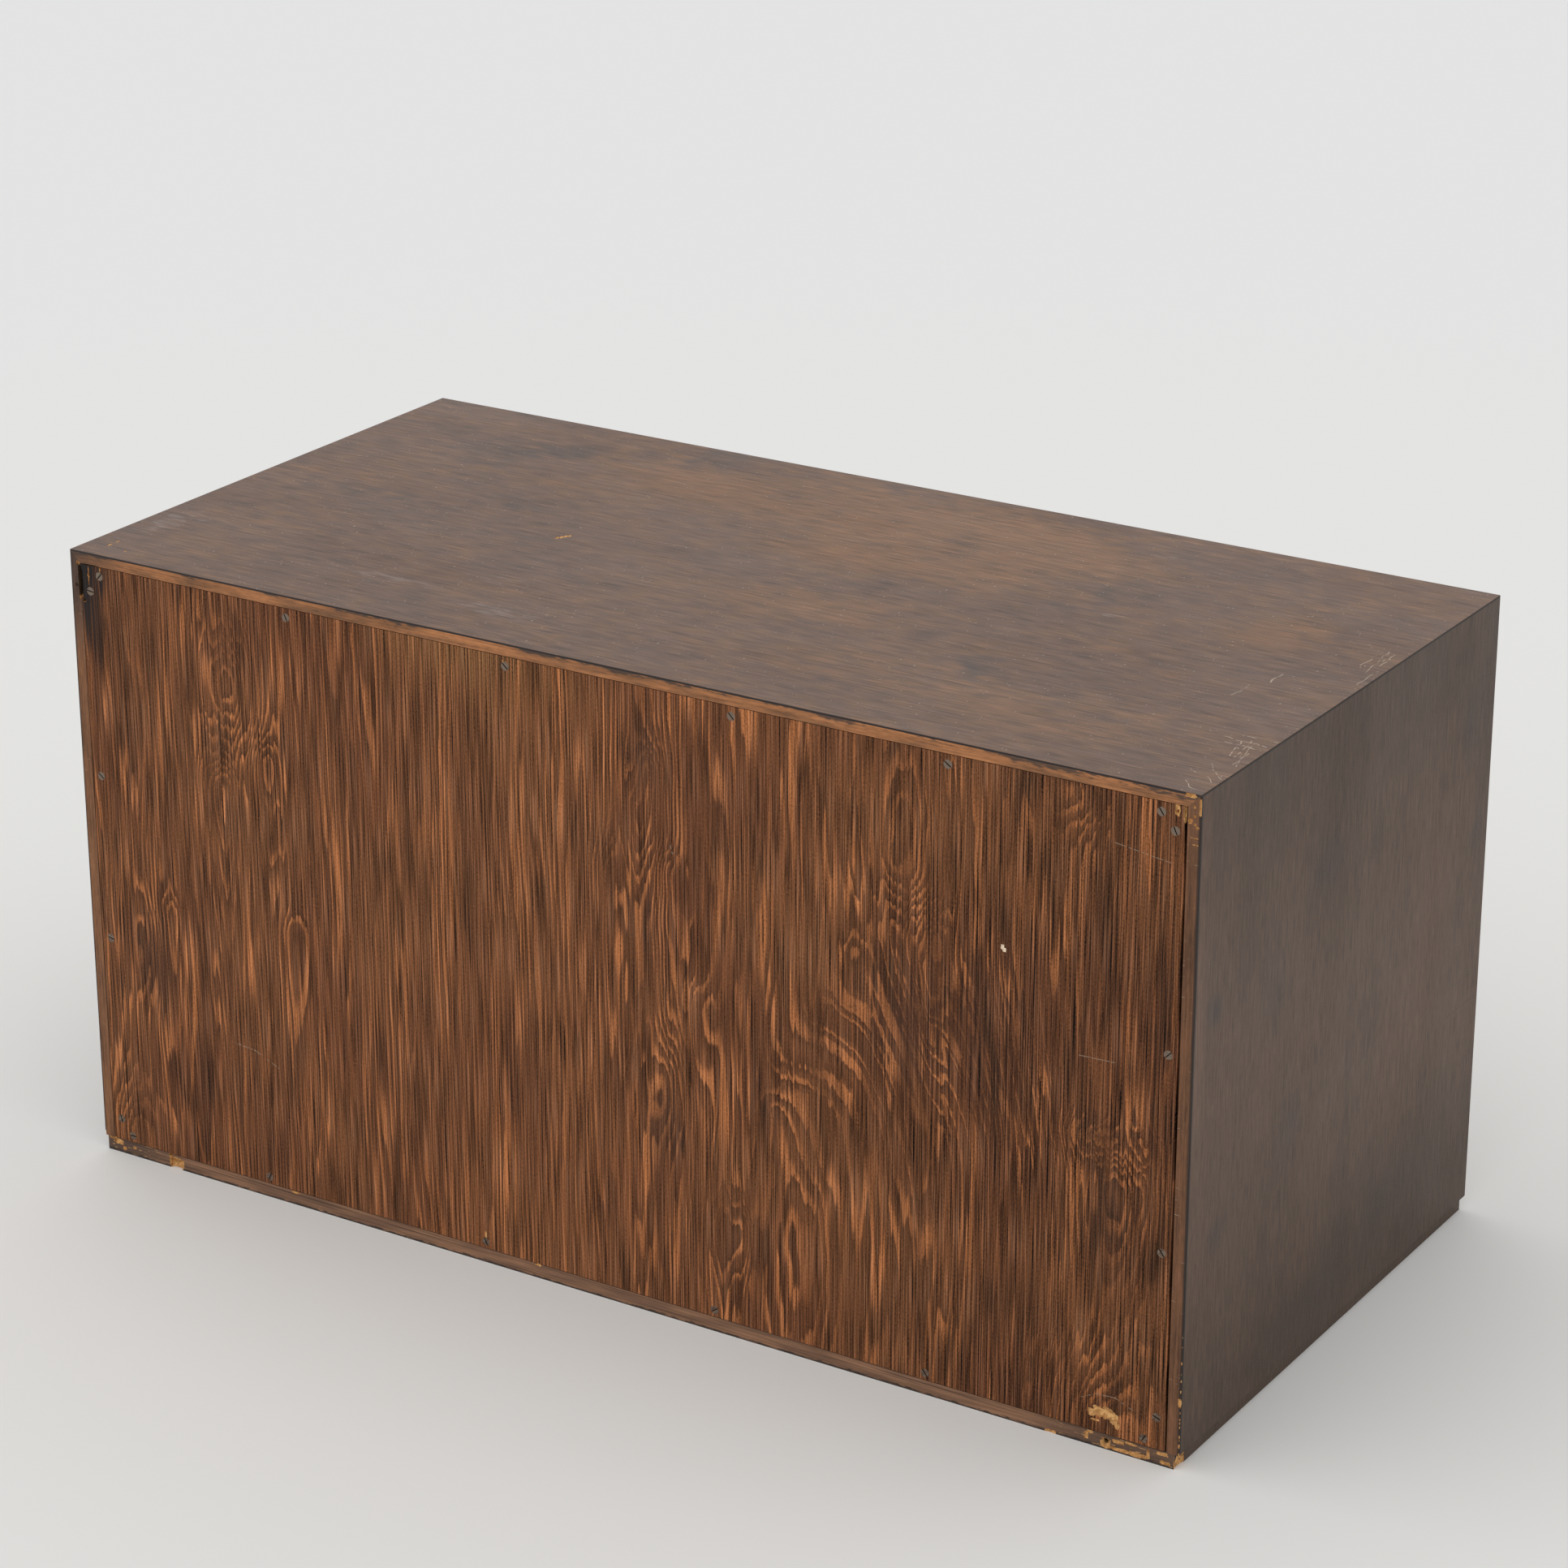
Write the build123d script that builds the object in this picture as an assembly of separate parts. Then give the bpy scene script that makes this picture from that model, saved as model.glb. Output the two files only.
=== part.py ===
from build123d import *
import math
import os

# A low floor-standing cabinet: a veneered case with a screwed-on plywood back,
# a cupboard with a shelf behind a hinged door, and a bank of three drawers.
# Millimetres. +X is right seen from the front, the front faces -Y, +Z is up,
# and the origin is on the floor, under the middle of the case.

# Case
WIDTH = 1000
DEPTH = 495
HEIGHT = 522
PANEL = 25  # thickness of the top, the sides and the bottom
EDGE_ROUND = 0.8
BASE_LIP = 12  # the part of the bottom panel that shows below the sides
BASE_INSET = 3
MITRE_TONGUE = (18, 468, 4)  # width across the mitre, length, thickness
TONGUE_FROM_CORNER = 15
DOWEL_RADIUS = 4
DOWEL_IN_SIDE = 25
DOWEL_IN_LIP = 9
DOWEL_SHORT = 1  # a dowel is this much shorter than its holes
DOWEL_CHAMFER = 1
DOWELS_PER_SIDE = 5
DOWEL_PITCH = 100
PARTITION = 20
HOUSING = 6
HOUSING_STOP = 12  # the housing ends this far behind the front edge

# Back sheet, let into a rebate, and the hand-placed screws that hold it
SHEET = 6
BACK_LIP = 10
SHEET_GAP_LEFT = 1.8
SHEET_GAP_RIGHT = 0.7
SHEET_GAP_ENDS = 0.5
SHEET_SCREW = (7.0, 3.5, 25)  # head diameter, shank diameter, length
ROW_INSET = 18
COLUMN_INSET = 19
# Each screw: place along its row or column, and the turn of its slot seen from behind
TOP_ROW = ((471, 50), (286, -65), (80, -42), (-120, -48), (-301, -35), (-470, -55))
BOTTOM_ROW = ((470, 5), (327, 62), (112, -60), (-102, 32), (-288, -52), (-471, 58))
RIGHT_COLUMN = ((490, -5), (334, -38), (193, -8), (31, -75))
LEFT_COLUMN = ((492, -65), (324, 45), (170, -52), (38, -22))

# Small screws: head diameter, shank diameter, length
RUNNER_SCREW = (6.0, 3.0, 20)
LEAF_SCREW = (5.2, 2.8, 14)
CATCH_SCREW = (5.2, 2.8, 18)
PLATE_SCREW = (4.4, 2.4, 10)
SHEET_BOTTOM_SCREW = (5.2, 2.8, 18)
KNOB_SCREW = (8.0, 4.0, 34)
HEAD_RISE = 0.36  # of a round head, for each unit of its diameter
SLOT_WIDTH = 0.9
SLOT_DEPTH = 0.9
HOLE_CLEAR = 0.05  # radial room round screws, pins and dowels
OVERRUN = 1  # how far a cut runs past a face that it opens

# Fronts
FRONT_THICK = 20
FRONT_ROUND = 1.0
FRONT_GAP = 2
END_GAP = 1.5

# Door, hinges and catch
KNUCKLE_RADIUS = 3
PIN_RADIUS = 1.5
PIN_HEAD = (2.4, 1.4)  # radius, height
KNUCKLE_GAP = 0.4  # between a knuckle and the front faces behind it
KNUCKLE_PLAY = 0.15  # end play on each side of a knuckle
KNUCKLES = 5
LEAF_HEIGHT = 60
LEAF_DEPTH = 16
LEAF_THICK = 1.2
LEAF_SCREW_PITCH = 21
LEAF_SCREW_INSET = 9
HINGE_FROM_END = 75  # from the door's end to the middle of a hinge
DOOR_KNOB_INSET = 36
DOOR_KNOB_HEIGHT = 318
CATCH_SIZE = (46, 14, 12)
CATCH_ROUND = 2
CATCH_FROM_PARTITION = 30
PLATE_SIZE = (38, 1.2, 9)
CATCH_GAP = 0.2
CATCH_SCREW_PITCH = 32
PLATE_SCREW_PITCH = 24

# Shelf and pegs
SHELF_THICK = 18
SHELF_HEIGHT = 252
SHELF_SETBACK = 55
SHELF_GAP = 1
PEG_RADIUS = 3
PEG_REACH = 10  # into the wall, and out of it
PEG_ROUND = 0.5
PEG_COLLAR = (4.5, 1.5)  # radius, height
PEG_FROM_END = 50

# Drawers and runners
DRAWERS = ("bottom_drawer", "middle_drawer", "top_drawer")
DRAWER_LENGTH = 462  # from the front's face to the end of the sides
DRAWER_SIDE = 14
DRAWER_BACK = 12
SIDE_DROP = 6  # the sides are lower than the front, and the back than the sides
LAP = 6  # wood left in front of the tails
FRONT_TAILS = 4
BACK_TAILS = 3
TAIL_SHARE = 0.56  # of the pitch, at the root of a tail
DOVETAIL_SLOPE = 7
BOTTOM_SHEET = 5
BOTTOM_RISE = 10
BOTTOM_GROOVE = 6
GROOVE_PLAY = 0.1
BOTTOM_SCREW_PITCH = 150
RUNNER_THICK = 8
RUNNER_HEIGHT = 14
RUNNER_GROOVE = 7
RUNNER_PLAY = 0.3
GROOVE_FROM_FRONT = 48  # from the front's face to the groove's closed end
RUNNER_BACK_GAP = 6
RUNNER_SCREW_PITCH = 180

# Knob, turned: radius at the base, neck, head and crown, heights along it,
# and the point (radius, height) that each arc between them passes through
KNOB_BASE = 9
KNOB_NECK = 6.2
KNOB_HEAD = 17
KNOB_CROWN = 12
KNOB_NECK_HEIGHT = 9
KNOB_HEAD_HEIGHT = 19
KNOB_CROWN_HEIGHT = 25
KNOB_HEIGHT = 27
KNOB_NECK_ARC = (6.7, 4.2)
KNOB_UNDER_ARC = (14, 13.4)
KNOB_RIM_ARC = (16, 22.7)

# Places worked out from these
SIDE_X = WIDTH / 2
INNER_X = SIDE_X - PANEL
FRONT_Y = -DEPTH / 2
BACK_Y = DEPTH / 2
SHEET_Y = BACK_Y - SHEET
FLOOR_Z = PANEL
CEILING_Z = HEIGHT - PANEL
BAY_X = PARTITION / 2  # inner face of the partition, on each side
INSIDE_Y = FRONT_Y + FRONT_THICK  # inner face of the door and the drawer fronts

DOOR_LEFT = -INNER_X + FRONT_GAP
DOOR_RIGHT = -BAY_X - END_GAP
DOOR_LOW = FLOOR_Z + FRONT_GAP
DOOR_HIGH = CEILING_Z - FRONT_GAP
HINGE_X = -INNER_X + FRONT_GAP / 2
HINGE_Y = FRONT_Y - KNUCKLE_RADIUS - KNUCKLE_GAP
HINGE_HEIGHTS = {"upper": DOOR_HIGH - HINGE_FROM_END, "lower": DOOR_LOW + HINGE_FROM_END}
CATCH_X = -BAY_X - CATCH_FROM_PARTITION - CATCH_SIZE[0] / 2
PLATE_Y = INSIDE_Y + PLATE_SIZE[1]
CATCH_Y = PLATE_Y + CATCH_GAP + CATCH_SIZE[1] / 2

DRAWER_LEFT = BAY_X + END_GAP
DRAWER_RIGHT = INNER_X - END_GAP
DRAWER_MIDDLE = (DRAWER_LEFT + DRAWER_RIGHT) / 2
DRAWER_FRONT_HEIGHT = (CEILING_Z - FLOOR_Z - FRONT_GAP * (len(DRAWERS) + 1)) / len(DRAWERS)
DRAWER_SIDE_HEIGHT = DRAWER_FRONT_HEIGHT - SIDE_DROP
DRAWER_END_Y = FRONT_Y + DRAWER_LENGTH
GROOVE_END_Y = FRONT_Y + GROOVE_FROM_FRONT
BACK_LOW = BOTTOM_RISE + BOTTOM_SHEET + 2 * GROOVE_PLAY  # above the drawer's lower edge
BACK_HIGH = DRAWER_SIDE_HEIGHT - SIDE_DROP
RUNNER_RISE = (BACK_LOW + BACK_HIGH) / 2  # a runner's mid-height, level with the middle tail


# Shapes used throughout
def block(x, y, z):
    """A box, from its low and high value along each axis."""
    size = Box(x[1] - x[0], y[1] - y[0], z[1] - z[0])
    return Pos(sum(x) / 2, sum(y) / 2, sum(z) / 2) * size


def group(solids):
    """Separate solids kept together in one node."""
    return Compound(children=list(solids))


def cut(solid, tools):
    """A solid with every tool in turn taken out of it."""
    for tool in tools:
        solid = solid - tool
    return solid


def countersunk_blank(screw, clear=0.0):
    """A countersunk screw without its slot: head at the origin, point down -Z."""
    head, shank, length = screw
    outline = Polyline(
        (0, 0),
        (head / 2 + clear, 0),
        (shank / 2 + clear, (shank - head) / 2),
        (shank / 2 + clear, shank - length - clear),
        (0, -length - clear),
        close=True,
    )
    return revolve(Plane.XZ * make_face(outline), Axis.Z)


def countersunk_screw(screw, turn=0):
    """A slotted countersunk screw, its slot turned about its axis."""
    slot = Rot(0, 0, turn) * Box(screw[0] + OVERRUN, SLOT_WIDTH, 2 * SLOT_DEPTH)
    return countersunk_blank(screw) - slot


def crown_arc(radius, low, high):
    """The outline of a low dome: from its rim at a radius up to its top on the axis."""
    rise = high - low
    ball = (radius**2 + rise**2) / (2 * rise)
    spread = math.degrees(math.asin(radius / ball))
    return CenterArc((0, high - ball), ball, 90 - spread, spread)


def round_head_screw(screw):
    """A slotted round-headed screw: underside of the head at the origin, point down -Z."""
    head, shank, length = screw
    rise = head * HEAD_RISE
    rest = Polyline((0, rise), (0, -length), (shank / 2, shank - length), (shank / 2, 0), (head / 2, 0))
    body = revolve(Plane.XZ * make_face([crown_arc(head / 2, 0, rise), rest]), Axis.Z)
    return body - Pos(0, 0, rise) * Box(head + OVERRUN, SLOT_WIDTH, 2 * SLOT_DEPTH)


def facing(place, direction, right):
    """A frame at a place whose Z looks along a direction and whose X points right."""
    return Plane(origin=place, x_dir=right, z_dir=direction)


# Case joints: the solids that join two boards are also what is cut from them
def mitre_tongue(side):
    """A loose tongue square across a top mitre; side is -1 on the left and 1 on the right."""
    inset = TONGUE_FROM_CORNER
    place = Pos(side * (SIDE_X - inset), (FRONT_Y + SHEET_Y) / 2, HEIGHT - inset)
    return place * Rot(0, 45 * side, 0) * Box(*MITRE_TONGUE)


def dowel_places(side):
    """The middles of the dowels between the bottom panel's lip and one side."""
    x = side * (SIDE_X - PANEL / 2)
    z = BASE_LIP + (DOWEL_IN_SIDE - DOWEL_IN_LIP) / 2
    first = -DOWEL_PITCH * (DOWELS_PER_SIDE - 1) / 2
    return [Pos(x, first + DOWEL_PITCH * i, z) for i in range(DOWELS_PER_SIDE)]


def dowel_holes(side):
    hole = Cylinder(DOWEL_RADIUS, DOWEL_IN_LIP + DOWEL_IN_SIDE)
    return [place * hole for place in dowel_places(side)]


def dowels(side):
    """Dowels that stand in the bottom panel's lip and run up into one side."""
    length = DOWEL_IN_LIP + DOWEL_IN_SIDE - DOWEL_SHORT
    dowel = chamfer(Cylinder(DOWEL_RADIUS - HOLE_CLEAR, length).edges(), DOWEL_CHAMFER)
    return [place * dowel for place in dowel_places(side)]


def partition_blank():
    """The partition with the tongues that stand in the housings of the top and the bottom."""
    x = (-BAY_X, BAY_X)
    board = block(x, (FRONT_Y, SHEET_Y), (FLOOR_Z, CEILING_Z))
    tongues = block(x, (FRONT_Y + HOUSING_STOP, SHEET_Y), (FLOOR_Z - HOUSING, CEILING_Z + HOUSING))
    return board + tongues


def back_rebate():
    """The room for the back sheet, inside the lips of all four panels."""
    x = SIDE_X - BACK_LIP
    return block((-x, x), (SHEET_Y, BACK_Y + OVERRUN), (BASE_LIP, HEIGHT - BACK_LIP))


def sheet_screw_places():
    """Every back screw's frame, looking out of the back, with the turn of its slot."""
    column_x = SIDE_X - COLUMN_INSET
    spots = [((x, HEIGHT - ROW_INSET), turn) for x, turn in TOP_ROW]
    spots += [((x, ROW_INSET), turn) for x, turn in BOTTOM_ROW]
    spots += [((column_x, z), turn) for z, turn in RIGHT_COLUMN]
    spots += [((-column_x, z), turn) for z, turn in LEFT_COLUMN]
    return [(facing((x, BACK_Y, z), (0, 1, 0), (-1, 0, 0)), turn) for (x, z), turn in spots]


def sheet_screw_holes():
    hole = countersunk_blank(SHEET_SCREW, HOLE_CLEAR)
    return [place * hole for place, _ in sheet_screw_places()]


def peg_places():
    """A frame on the cupboard's walls for each shelf peg, looking into the cupboard."""
    z = SHELF_HEIGHT - PEG_RADIUS - HOLE_CLEAR
    ends = (FRONT_Y + SHELF_SETBACK + PEG_FROM_END, SHEET_Y - PEG_FROM_END)
    left = [facing((-INNER_X, y, z), (1, 0, 0), (0, 1, 0)) for y in ends]
    right = [facing((-BAY_X, y, z), (-1, 0, 0), (0, 1, 0)) for y in ends]
    return left, right


def peg_hole():
    return Pos(0, 0, -PEG_REACH / 2) * Cylinder(PEG_RADIUS + HOLE_CLEAR, PEG_REACH + OVERRUN)


# Drawer levels
def drawer_low(level):
    """The lower edge of a drawer's front, counted from the bottom."""
    return FLOOR_Z + FRONT_GAP + level * (DRAWER_FRONT_HEIGHT + FRONT_GAP)


def runner_screw_places(side, level):
    """Frames on a runner's inner face; side is -1 at the partition and 1 at the case side."""
    wall = BAY_X if side < 0 else INNER_X
    x = wall - side * RUNNER_THICK
    z = drawer_low(level) + RUNNER_RISE
    ys = (-RUNNER_SCREW_PITCH, 0, RUNNER_SCREW_PITCH)
    return [facing((x, y, z), (-side, 0, 0), (0, 1, 0)) for y in ys]


def runner_screw_holes(side):
    hole = countersunk_blank(RUNNER_SCREW, HOLE_CLEAR)
    return [place * hole for level in range(len(DRAWERS)) for place in runner_screw_places(side, level)]


# Hinge places
def leaf_screw_places(middle_z, side):
    """Frames on a leaf's face; side is -1 for the case's leaf and 1 for the door's."""
    x = HINGE_X + side * FRONT_GAP / 2
    y = FRONT_Y + LEAF_SCREW_INSET
    heights = (middle_z - LEAF_SCREW_PITCH, middle_z, middle_z + LEAF_SCREW_PITCH)
    return [facing((x, y, z), (-side, 0, 0), (0, 1, 0)) for z in heights]


def leaf_screw_holes(side):
    hole = countersunk_blank(LEAF_SCREW, HOLE_CLEAR)
    return [place * hole for z in HINGE_HEIGHTS.values() for place in leaf_screw_places(z, side)]


def leaf_plate(middle_z, side):
    """The flat of a leaf, let in flush with the edge it is screwed to."""
    x = sorted((HINGE_X + side * FRONT_GAP / 2, HINGE_X + side * (FRONT_GAP / 2 + LEAF_THICK)))
    z = (middle_z - LEAF_HEIGHT / 2, middle_z + LEAF_HEIGHT / 2)
    return block(x, (FRONT_Y, FRONT_Y + LEAF_DEPTH), z)


def hinge_leaf(middle_z, side):
    """A butt hinge's leaf: its plate, and the knuckles that it wraps round the pin."""
    leaf = leaf_plate(middle_z, side)
    pitch = LEAF_HEIGHT / KNUCKLES
    first = 0 if side < 0 else 1
    near = HINGE_X + side * FRONT_GAP / 2
    far = near + side * LEAF_THICK
    for k in range(first, KNUCKLES, 2):
        z = middle_z - LEAF_HEIGHT / 2 + pitch * (k + 0.5)
        reach = pitch / 2 - KNUCKLE_PLAY
        knuckle = Pos(HINGE_X, HINGE_Y, z) * Cylinder(KNUCKLE_RADIUS, 2 * reach)
        neck = block(sorted((near, far)), (HINGE_Y + KNUCKLE_RADIUS / 2, FRONT_Y), (z - reach, z + reach))
        leaf = leaf + knuckle + neck
    bore = Pos(HINGE_X, HINGE_Y, middle_z) * Cylinder(PIN_RADIUS + HOLE_CLEAR, LEAF_HEIGHT + OVERRUN)
    hole = countersunk_blank(LEAF_SCREW, HOLE_CLEAR)
    return cut(leaf - bore, [place * hole for place in leaf_screw_places(middle_z, side)])


def hinge_pin(middle_z):
    """A plain pin with a button at each end."""
    pin = Cylinder(PIN_RADIUS, LEAF_HEIGHT)
    radius, height = PIN_HEAD
    for end in (-1, 1):
        pin = pin + Pos(0, 0, end * (LEAF_HEIGHT + height) / 2) * Cylinder(radius, height)
    return Pos(HINGE_X, HINGE_Y, middle_z) * pin


def catch_screw_places():
    z = CEILING_Z - CATCH_SIZE[2]
    xs = (CATCH_X - CATCH_SCREW_PITCH / 2, CATCH_X + CATCH_SCREW_PITCH / 2)
    return [facing((x, CATCH_Y, z), (0, 0, -1), (1, 0, 0)) for x in xs]


def catch_screw_holes():
    hole = countersunk_blank(CATCH_SCREW, HOLE_CLEAR)
    return [place * hole for place in catch_screw_places()]


def plate_screw_places():
    z = CEILING_Z - CATCH_SIZE[2] / 2 - FRONT_GAP
    xs = (CATCH_X - PLATE_SCREW_PITCH / 2, CATCH_X + PLATE_SCREW_PITCH / 2)
    return [facing((x, PLATE_Y, z), (0, 1, 0), (1, 0, 0)) for x in xs]


def plate_screw_holes():
    hole = countersunk_blank(PLATE_SCREW, HOLE_CLEAR)
    return [place * hole for place in plate_screw_places()]


# Case panels
def case_envelope():
    """The whole case with its edges eased, which every outer panel is trimmed to."""
    whole = block((-SIDE_X, SIDE_X), (FRONT_Y, BACK_Y), (0, HEIGHT))
    return fillet(whole.edges(), EDGE_ROUND)


def prism(outline):
    """A board running the case's full depth, from its outline seen from the front."""
    face = make_face(Polyline(*outline, close=True))
    return extrude(Plane.XZ.offset(-BACK_Y) * face, DEPTH)


def top_panel():
    outline = [(-SIDE_X, HEIGHT), (SIDE_X, HEIGHT), (INNER_X, CEILING_Z), (-INNER_X, CEILING_Z)]
    panel = prism(outline) & case_envelope()
    joints = [back_rebate(), mitre_tongue(-1), mitre_tongue(1), partition_blank()]
    return cut(panel, joints + sheet_screw_holes() + catch_screw_holes())


def side_panel(side):
    outline = [
        (side * SIDE_X, BASE_LIP),
        (side * SIDE_X, HEIGHT),
        (side * INNER_X, CEILING_Z),
        (side * INNER_X, BASE_LIP),
    ]
    panel = prism(outline) & case_envelope()
    tools = [back_rebate(), mitre_tongue(side)] + dowel_holes(side) + sheet_screw_holes()
    if side < 0:
        tools += [place * peg_hole() for place in peg_places()[0]]
        tools += [leaf_plate(z, -1) for z in HINGE_HEIGHTS.values()] + leaf_screw_holes(-1)
    else:
        tools += runner_screw_holes(1)
    return cut(panel, tools)


def bottom_panel():
    """A board whose lip runs out under the sides and stands a little back from the front."""
    lip_x = SIDE_X - BASE_INSET
    lip = block((-lip_x, lip_x), (FRONT_Y + BASE_INSET, BACK_Y), (0, BASE_LIP))
    lip = fillet(lip.edges().filter_by(Axis.Z), EDGE_ROUND)
    core = block((-INNER_X, INNER_X), (FRONT_Y, BACK_Y), (BASE_LIP, FLOOR_Z))
    joints = [back_rebate(), partition_blank()] + dowel_holes(-1) + dowel_holes(1)
    return cut(lip + core, joints + sheet_screw_holes())


def centre_partition():
    tools = [place * peg_hole() for place in peg_places()[1]] + runner_screw_holes(-1)
    return cut(partition_blank(), tools)


def back_panel():
    x = SIDE_X - BACK_LIP
    z = (BASE_LIP + SHEET_GAP_ENDS, HEIGHT - BACK_LIP - SHEET_GAP_ENDS)
    sheet = block((-x + SHEET_GAP_LEFT, x - SHEET_GAP_RIGHT), (SHEET_Y, BACK_Y), z)
    return cut(sheet, sheet_screw_holes())


# Cupboard
def shelf():
    x = (-INNER_X + SHELF_GAP, -BAY_X - SHELF_GAP)
    z = (SHELF_HEIGHT, SHELF_HEIGHT + SHELF_THICK)
    board = block(x, (FRONT_Y + SHELF_SETBACK, SHEET_Y - SHELF_GAP), z)
    return fillet(board.edges().filter_by(Axis.X).group_by(Axis.Y)[0], FRONT_ROUND)


def shelf_pegs():
    """Collared pins, half in the wall and half under the shelf."""
    radius, height = PEG_COLLAR
    pin = Cylinder(PEG_RADIUS, 2 * PEG_REACH)
    pin = fillet(pin.edges().filter_by(GeomType.CIRCLE), PEG_ROUND)
    collar = Pos(0, 0, height / 2) * Cylinder(radius, height)
    flat = Pos(0, radius, height / 2) * Box(2 * radius, 2 * (radius - PEG_RADIUS), height)
    left, right = peg_places()
    solids = [place * (pin + (collar - flat)) for place in left]
    solids += [place * (pin + (collar - mirror(flat, Plane.XZ))) for place in right]
    return group(solids)


def door_panel():
    panel = block((DOOR_LEFT, DOOR_RIGHT), (FRONT_Y, INSIDE_Y), (DOOR_LOW, DOOR_HIGH))
    panel = fillet(panel.faces().sort_by(Axis.Y)[0].edges(), FRONT_ROUND)
    leaves = [leaf_plate(z, 1) for z in HINGE_HEIGHTS.values()]
    hole = knob_screw_hole(door_knob_place())
    return cut(panel, leaves + leaf_screw_holes(1) + plate_screw_holes() + [hole])


def catch_magnet():
    """A magnet in its housing, screwed up under the top."""
    x, y, z = CATCH_SIZE
    housing = fillet(Box(x, y, z).edges().filter_by(Axis.Z), CATCH_ROUND)
    return cut(Pos(CATCH_X, CATCH_Y, CEILING_Z - z / 2) * housing, catch_screw_holes())


def catch_plate():
    """The steel plate on the door that the magnet holds."""
    x, y, z = PLATE_SIZE
    plate = fillet(Box(x, y, z).edges().filter_by(Axis.Y), CATCH_ROUND)
    middle_z = CEILING_Z - CATCH_SIZE[2] / 2 - FRONT_GAP
    return cut(Pos(CATCH_X, PLATE_Y - y / 2, middle_z) * plate, plate_screw_holes())


# Knobs
def door_knob_place():
    return (DOOR_RIGHT - DOOR_KNOB_INSET, DOOR_KNOB_HEIGHT)


def drawer_knob_place(level):
    return (DRAWER_MIDDLE, drawer_low(level) + DRAWER_FRONT_HEIGHT / 2)


def knob_screw_hole(place):
    x, z = place
    middle_y = (FRONT_Y + INSIDE_Y) / 2
    hole = Cylinder(KNOB_SCREW[1] / 2 + 2 * HOLE_CLEAR, FRONT_THICK + OVERRUN)
    return Pos(x, middle_y, z) * Rot(90, 0, 0) * hole


def knob(place):
    """A turned knob with a slim neck, a full head and a low crown."""
    base = Line((0, 0), (KNOB_BASE, 0))
    neck = ThreePointArc((KNOB_BASE, 0), KNOB_NECK_ARC, (KNOB_NECK, KNOB_NECK_HEIGHT))
    under = ThreePointArc((KNOB_NECK, KNOB_NECK_HEIGHT), KNOB_UNDER_ARC, (KNOB_HEAD, KNOB_HEAD_HEIGHT))
    rim = ThreePointArc((KNOB_HEAD, KNOB_HEAD_HEIGHT), KNOB_RIM_ARC, (KNOB_CROWN, KNOB_CROWN_HEIGHT))
    crown = crown_arc(KNOB_CROWN, KNOB_CROWN_HEIGHT, KNOB_HEIGHT)
    axis = Line((0, KNOB_HEIGHT), (0, 0))
    body = revolve(Plane.XZ * make_face([base, neck, under, rim, crown, axis]), Axis.Z)
    depth = KNOB_SCREW[2] - FRONT_THICK + HOLE_CLEAR
    body = body - Pos(0, 0, depth / 2) * Cylinder(KNOB_SCREW[1] / 2 + HOLE_CLEAR, depth)
    x, z = place
    return facing((x, FRONT_Y, z), (0, -1, 0), (1, 0, 0)) * body


def knob_screw(place):
    """The screw through a front into its knob, with its head on the inner face."""
    x, z = place
    return facing((x, INSIDE_Y, z), (0, 1, 0), (1, 0, 0)) * round_head_screw(KNOB_SCREW)


# Drawers
def tails(count, z, y_root, y_tip, x):
    """Dovetail tails on the end of a side board, evenly spread over z and widest at the tip."""
    pitch = (z[1] - z[0]) / count
    root = pitch * TAIL_SHARE / 2
    tip = root + abs(y_tip - y_root) / DOVETAIL_SLOPE
    prisms = []
    for k in range(count):
        c = z[0] + pitch * (k + 0.5)
        corners = [(y_root, c - root), (y_tip, c - tip), (y_tip, c + tip), (y_root, c + root)]
        face = make_face(Polyline(*corners, close=True))
        prisms.append(extrude(Plane.YZ.offset(x[0]) * face, x[1] - x[0]))
    return prisms


def side_span(side):
    """A side board's low and high X; side is -1 on the left and 1 on the right."""
    if side < 0:
        return (DRAWER_LEFT, DRAWER_LEFT + DRAWER_SIDE)
    return (DRAWER_RIGHT - DRAWER_SIDE, DRAWER_RIGHT)


def front_tails(side, level):
    low = drawer_low(level)
    return tails(FRONT_TAILS, (low, low + DRAWER_SIDE_HEIGHT), INSIDE_Y, FRONT_Y + LAP, side_span(side))


def back_tails(side, level):
    low = drawer_low(level)
    z = (low + BACK_LOW, low + BACK_HIGH)
    return tails(BACK_TAILS, z, DRAWER_END_Y - DRAWER_BACK, DRAWER_END_Y, side_span(side))


def bottom_groove(level):
    """The room that the bottom sheet takes in the front and both sides."""
    x = (side_span(-1)[1] - BOTTOM_GROOVE, side_span(1)[0] + BOTTOM_GROOVE)
    low = drawer_low(level) + BOTTOM_RISE
    z = (low, low + BOTTOM_SHEET + 2 * GROOVE_PLAY)
    return block(x, (INSIDE_Y - BOTTOM_GROOVE, DRAWER_END_Y + OVERRUN), z)


def bottom_screw_places(level):
    z = drawer_low(level) + BOTTOM_RISE + GROOVE_PLAY
    y = DRAWER_END_Y - DRAWER_BACK / 2
    xs = [DRAWER_MIDDLE + step * BOTTOM_SCREW_PITCH for step in (-1, 0, 1)]
    return [facing((x, y, z), (0, 0, -1), (1, 0, 0)) for x in xs]


def bottom_screw_holes(level):
    hole = countersunk_blank(SHEET_BOTTOM_SCREW, HOLE_CLEAR)
    return [place * hole for place in bottom_screw_places(level)]


def drawer_front(level):
    low = drawer_low(level)
    front = block((DRAWER_LEFT, DRAWER_RIGHT), (FRONT_Y, INSIDE_Y), (low, low + DRAWER_FRONT_HEIGHT))
    front = fillet(front.faces().sort_by(Axis.Y)[0].edges(), FRONT_ROUND)
    sockets = front_tails(-1, level) + front_tails(1, level)
    return cut(front, sockets + [bottom_groove(level), knob_screw_hole(drawer_knob_place(level))])


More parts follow.
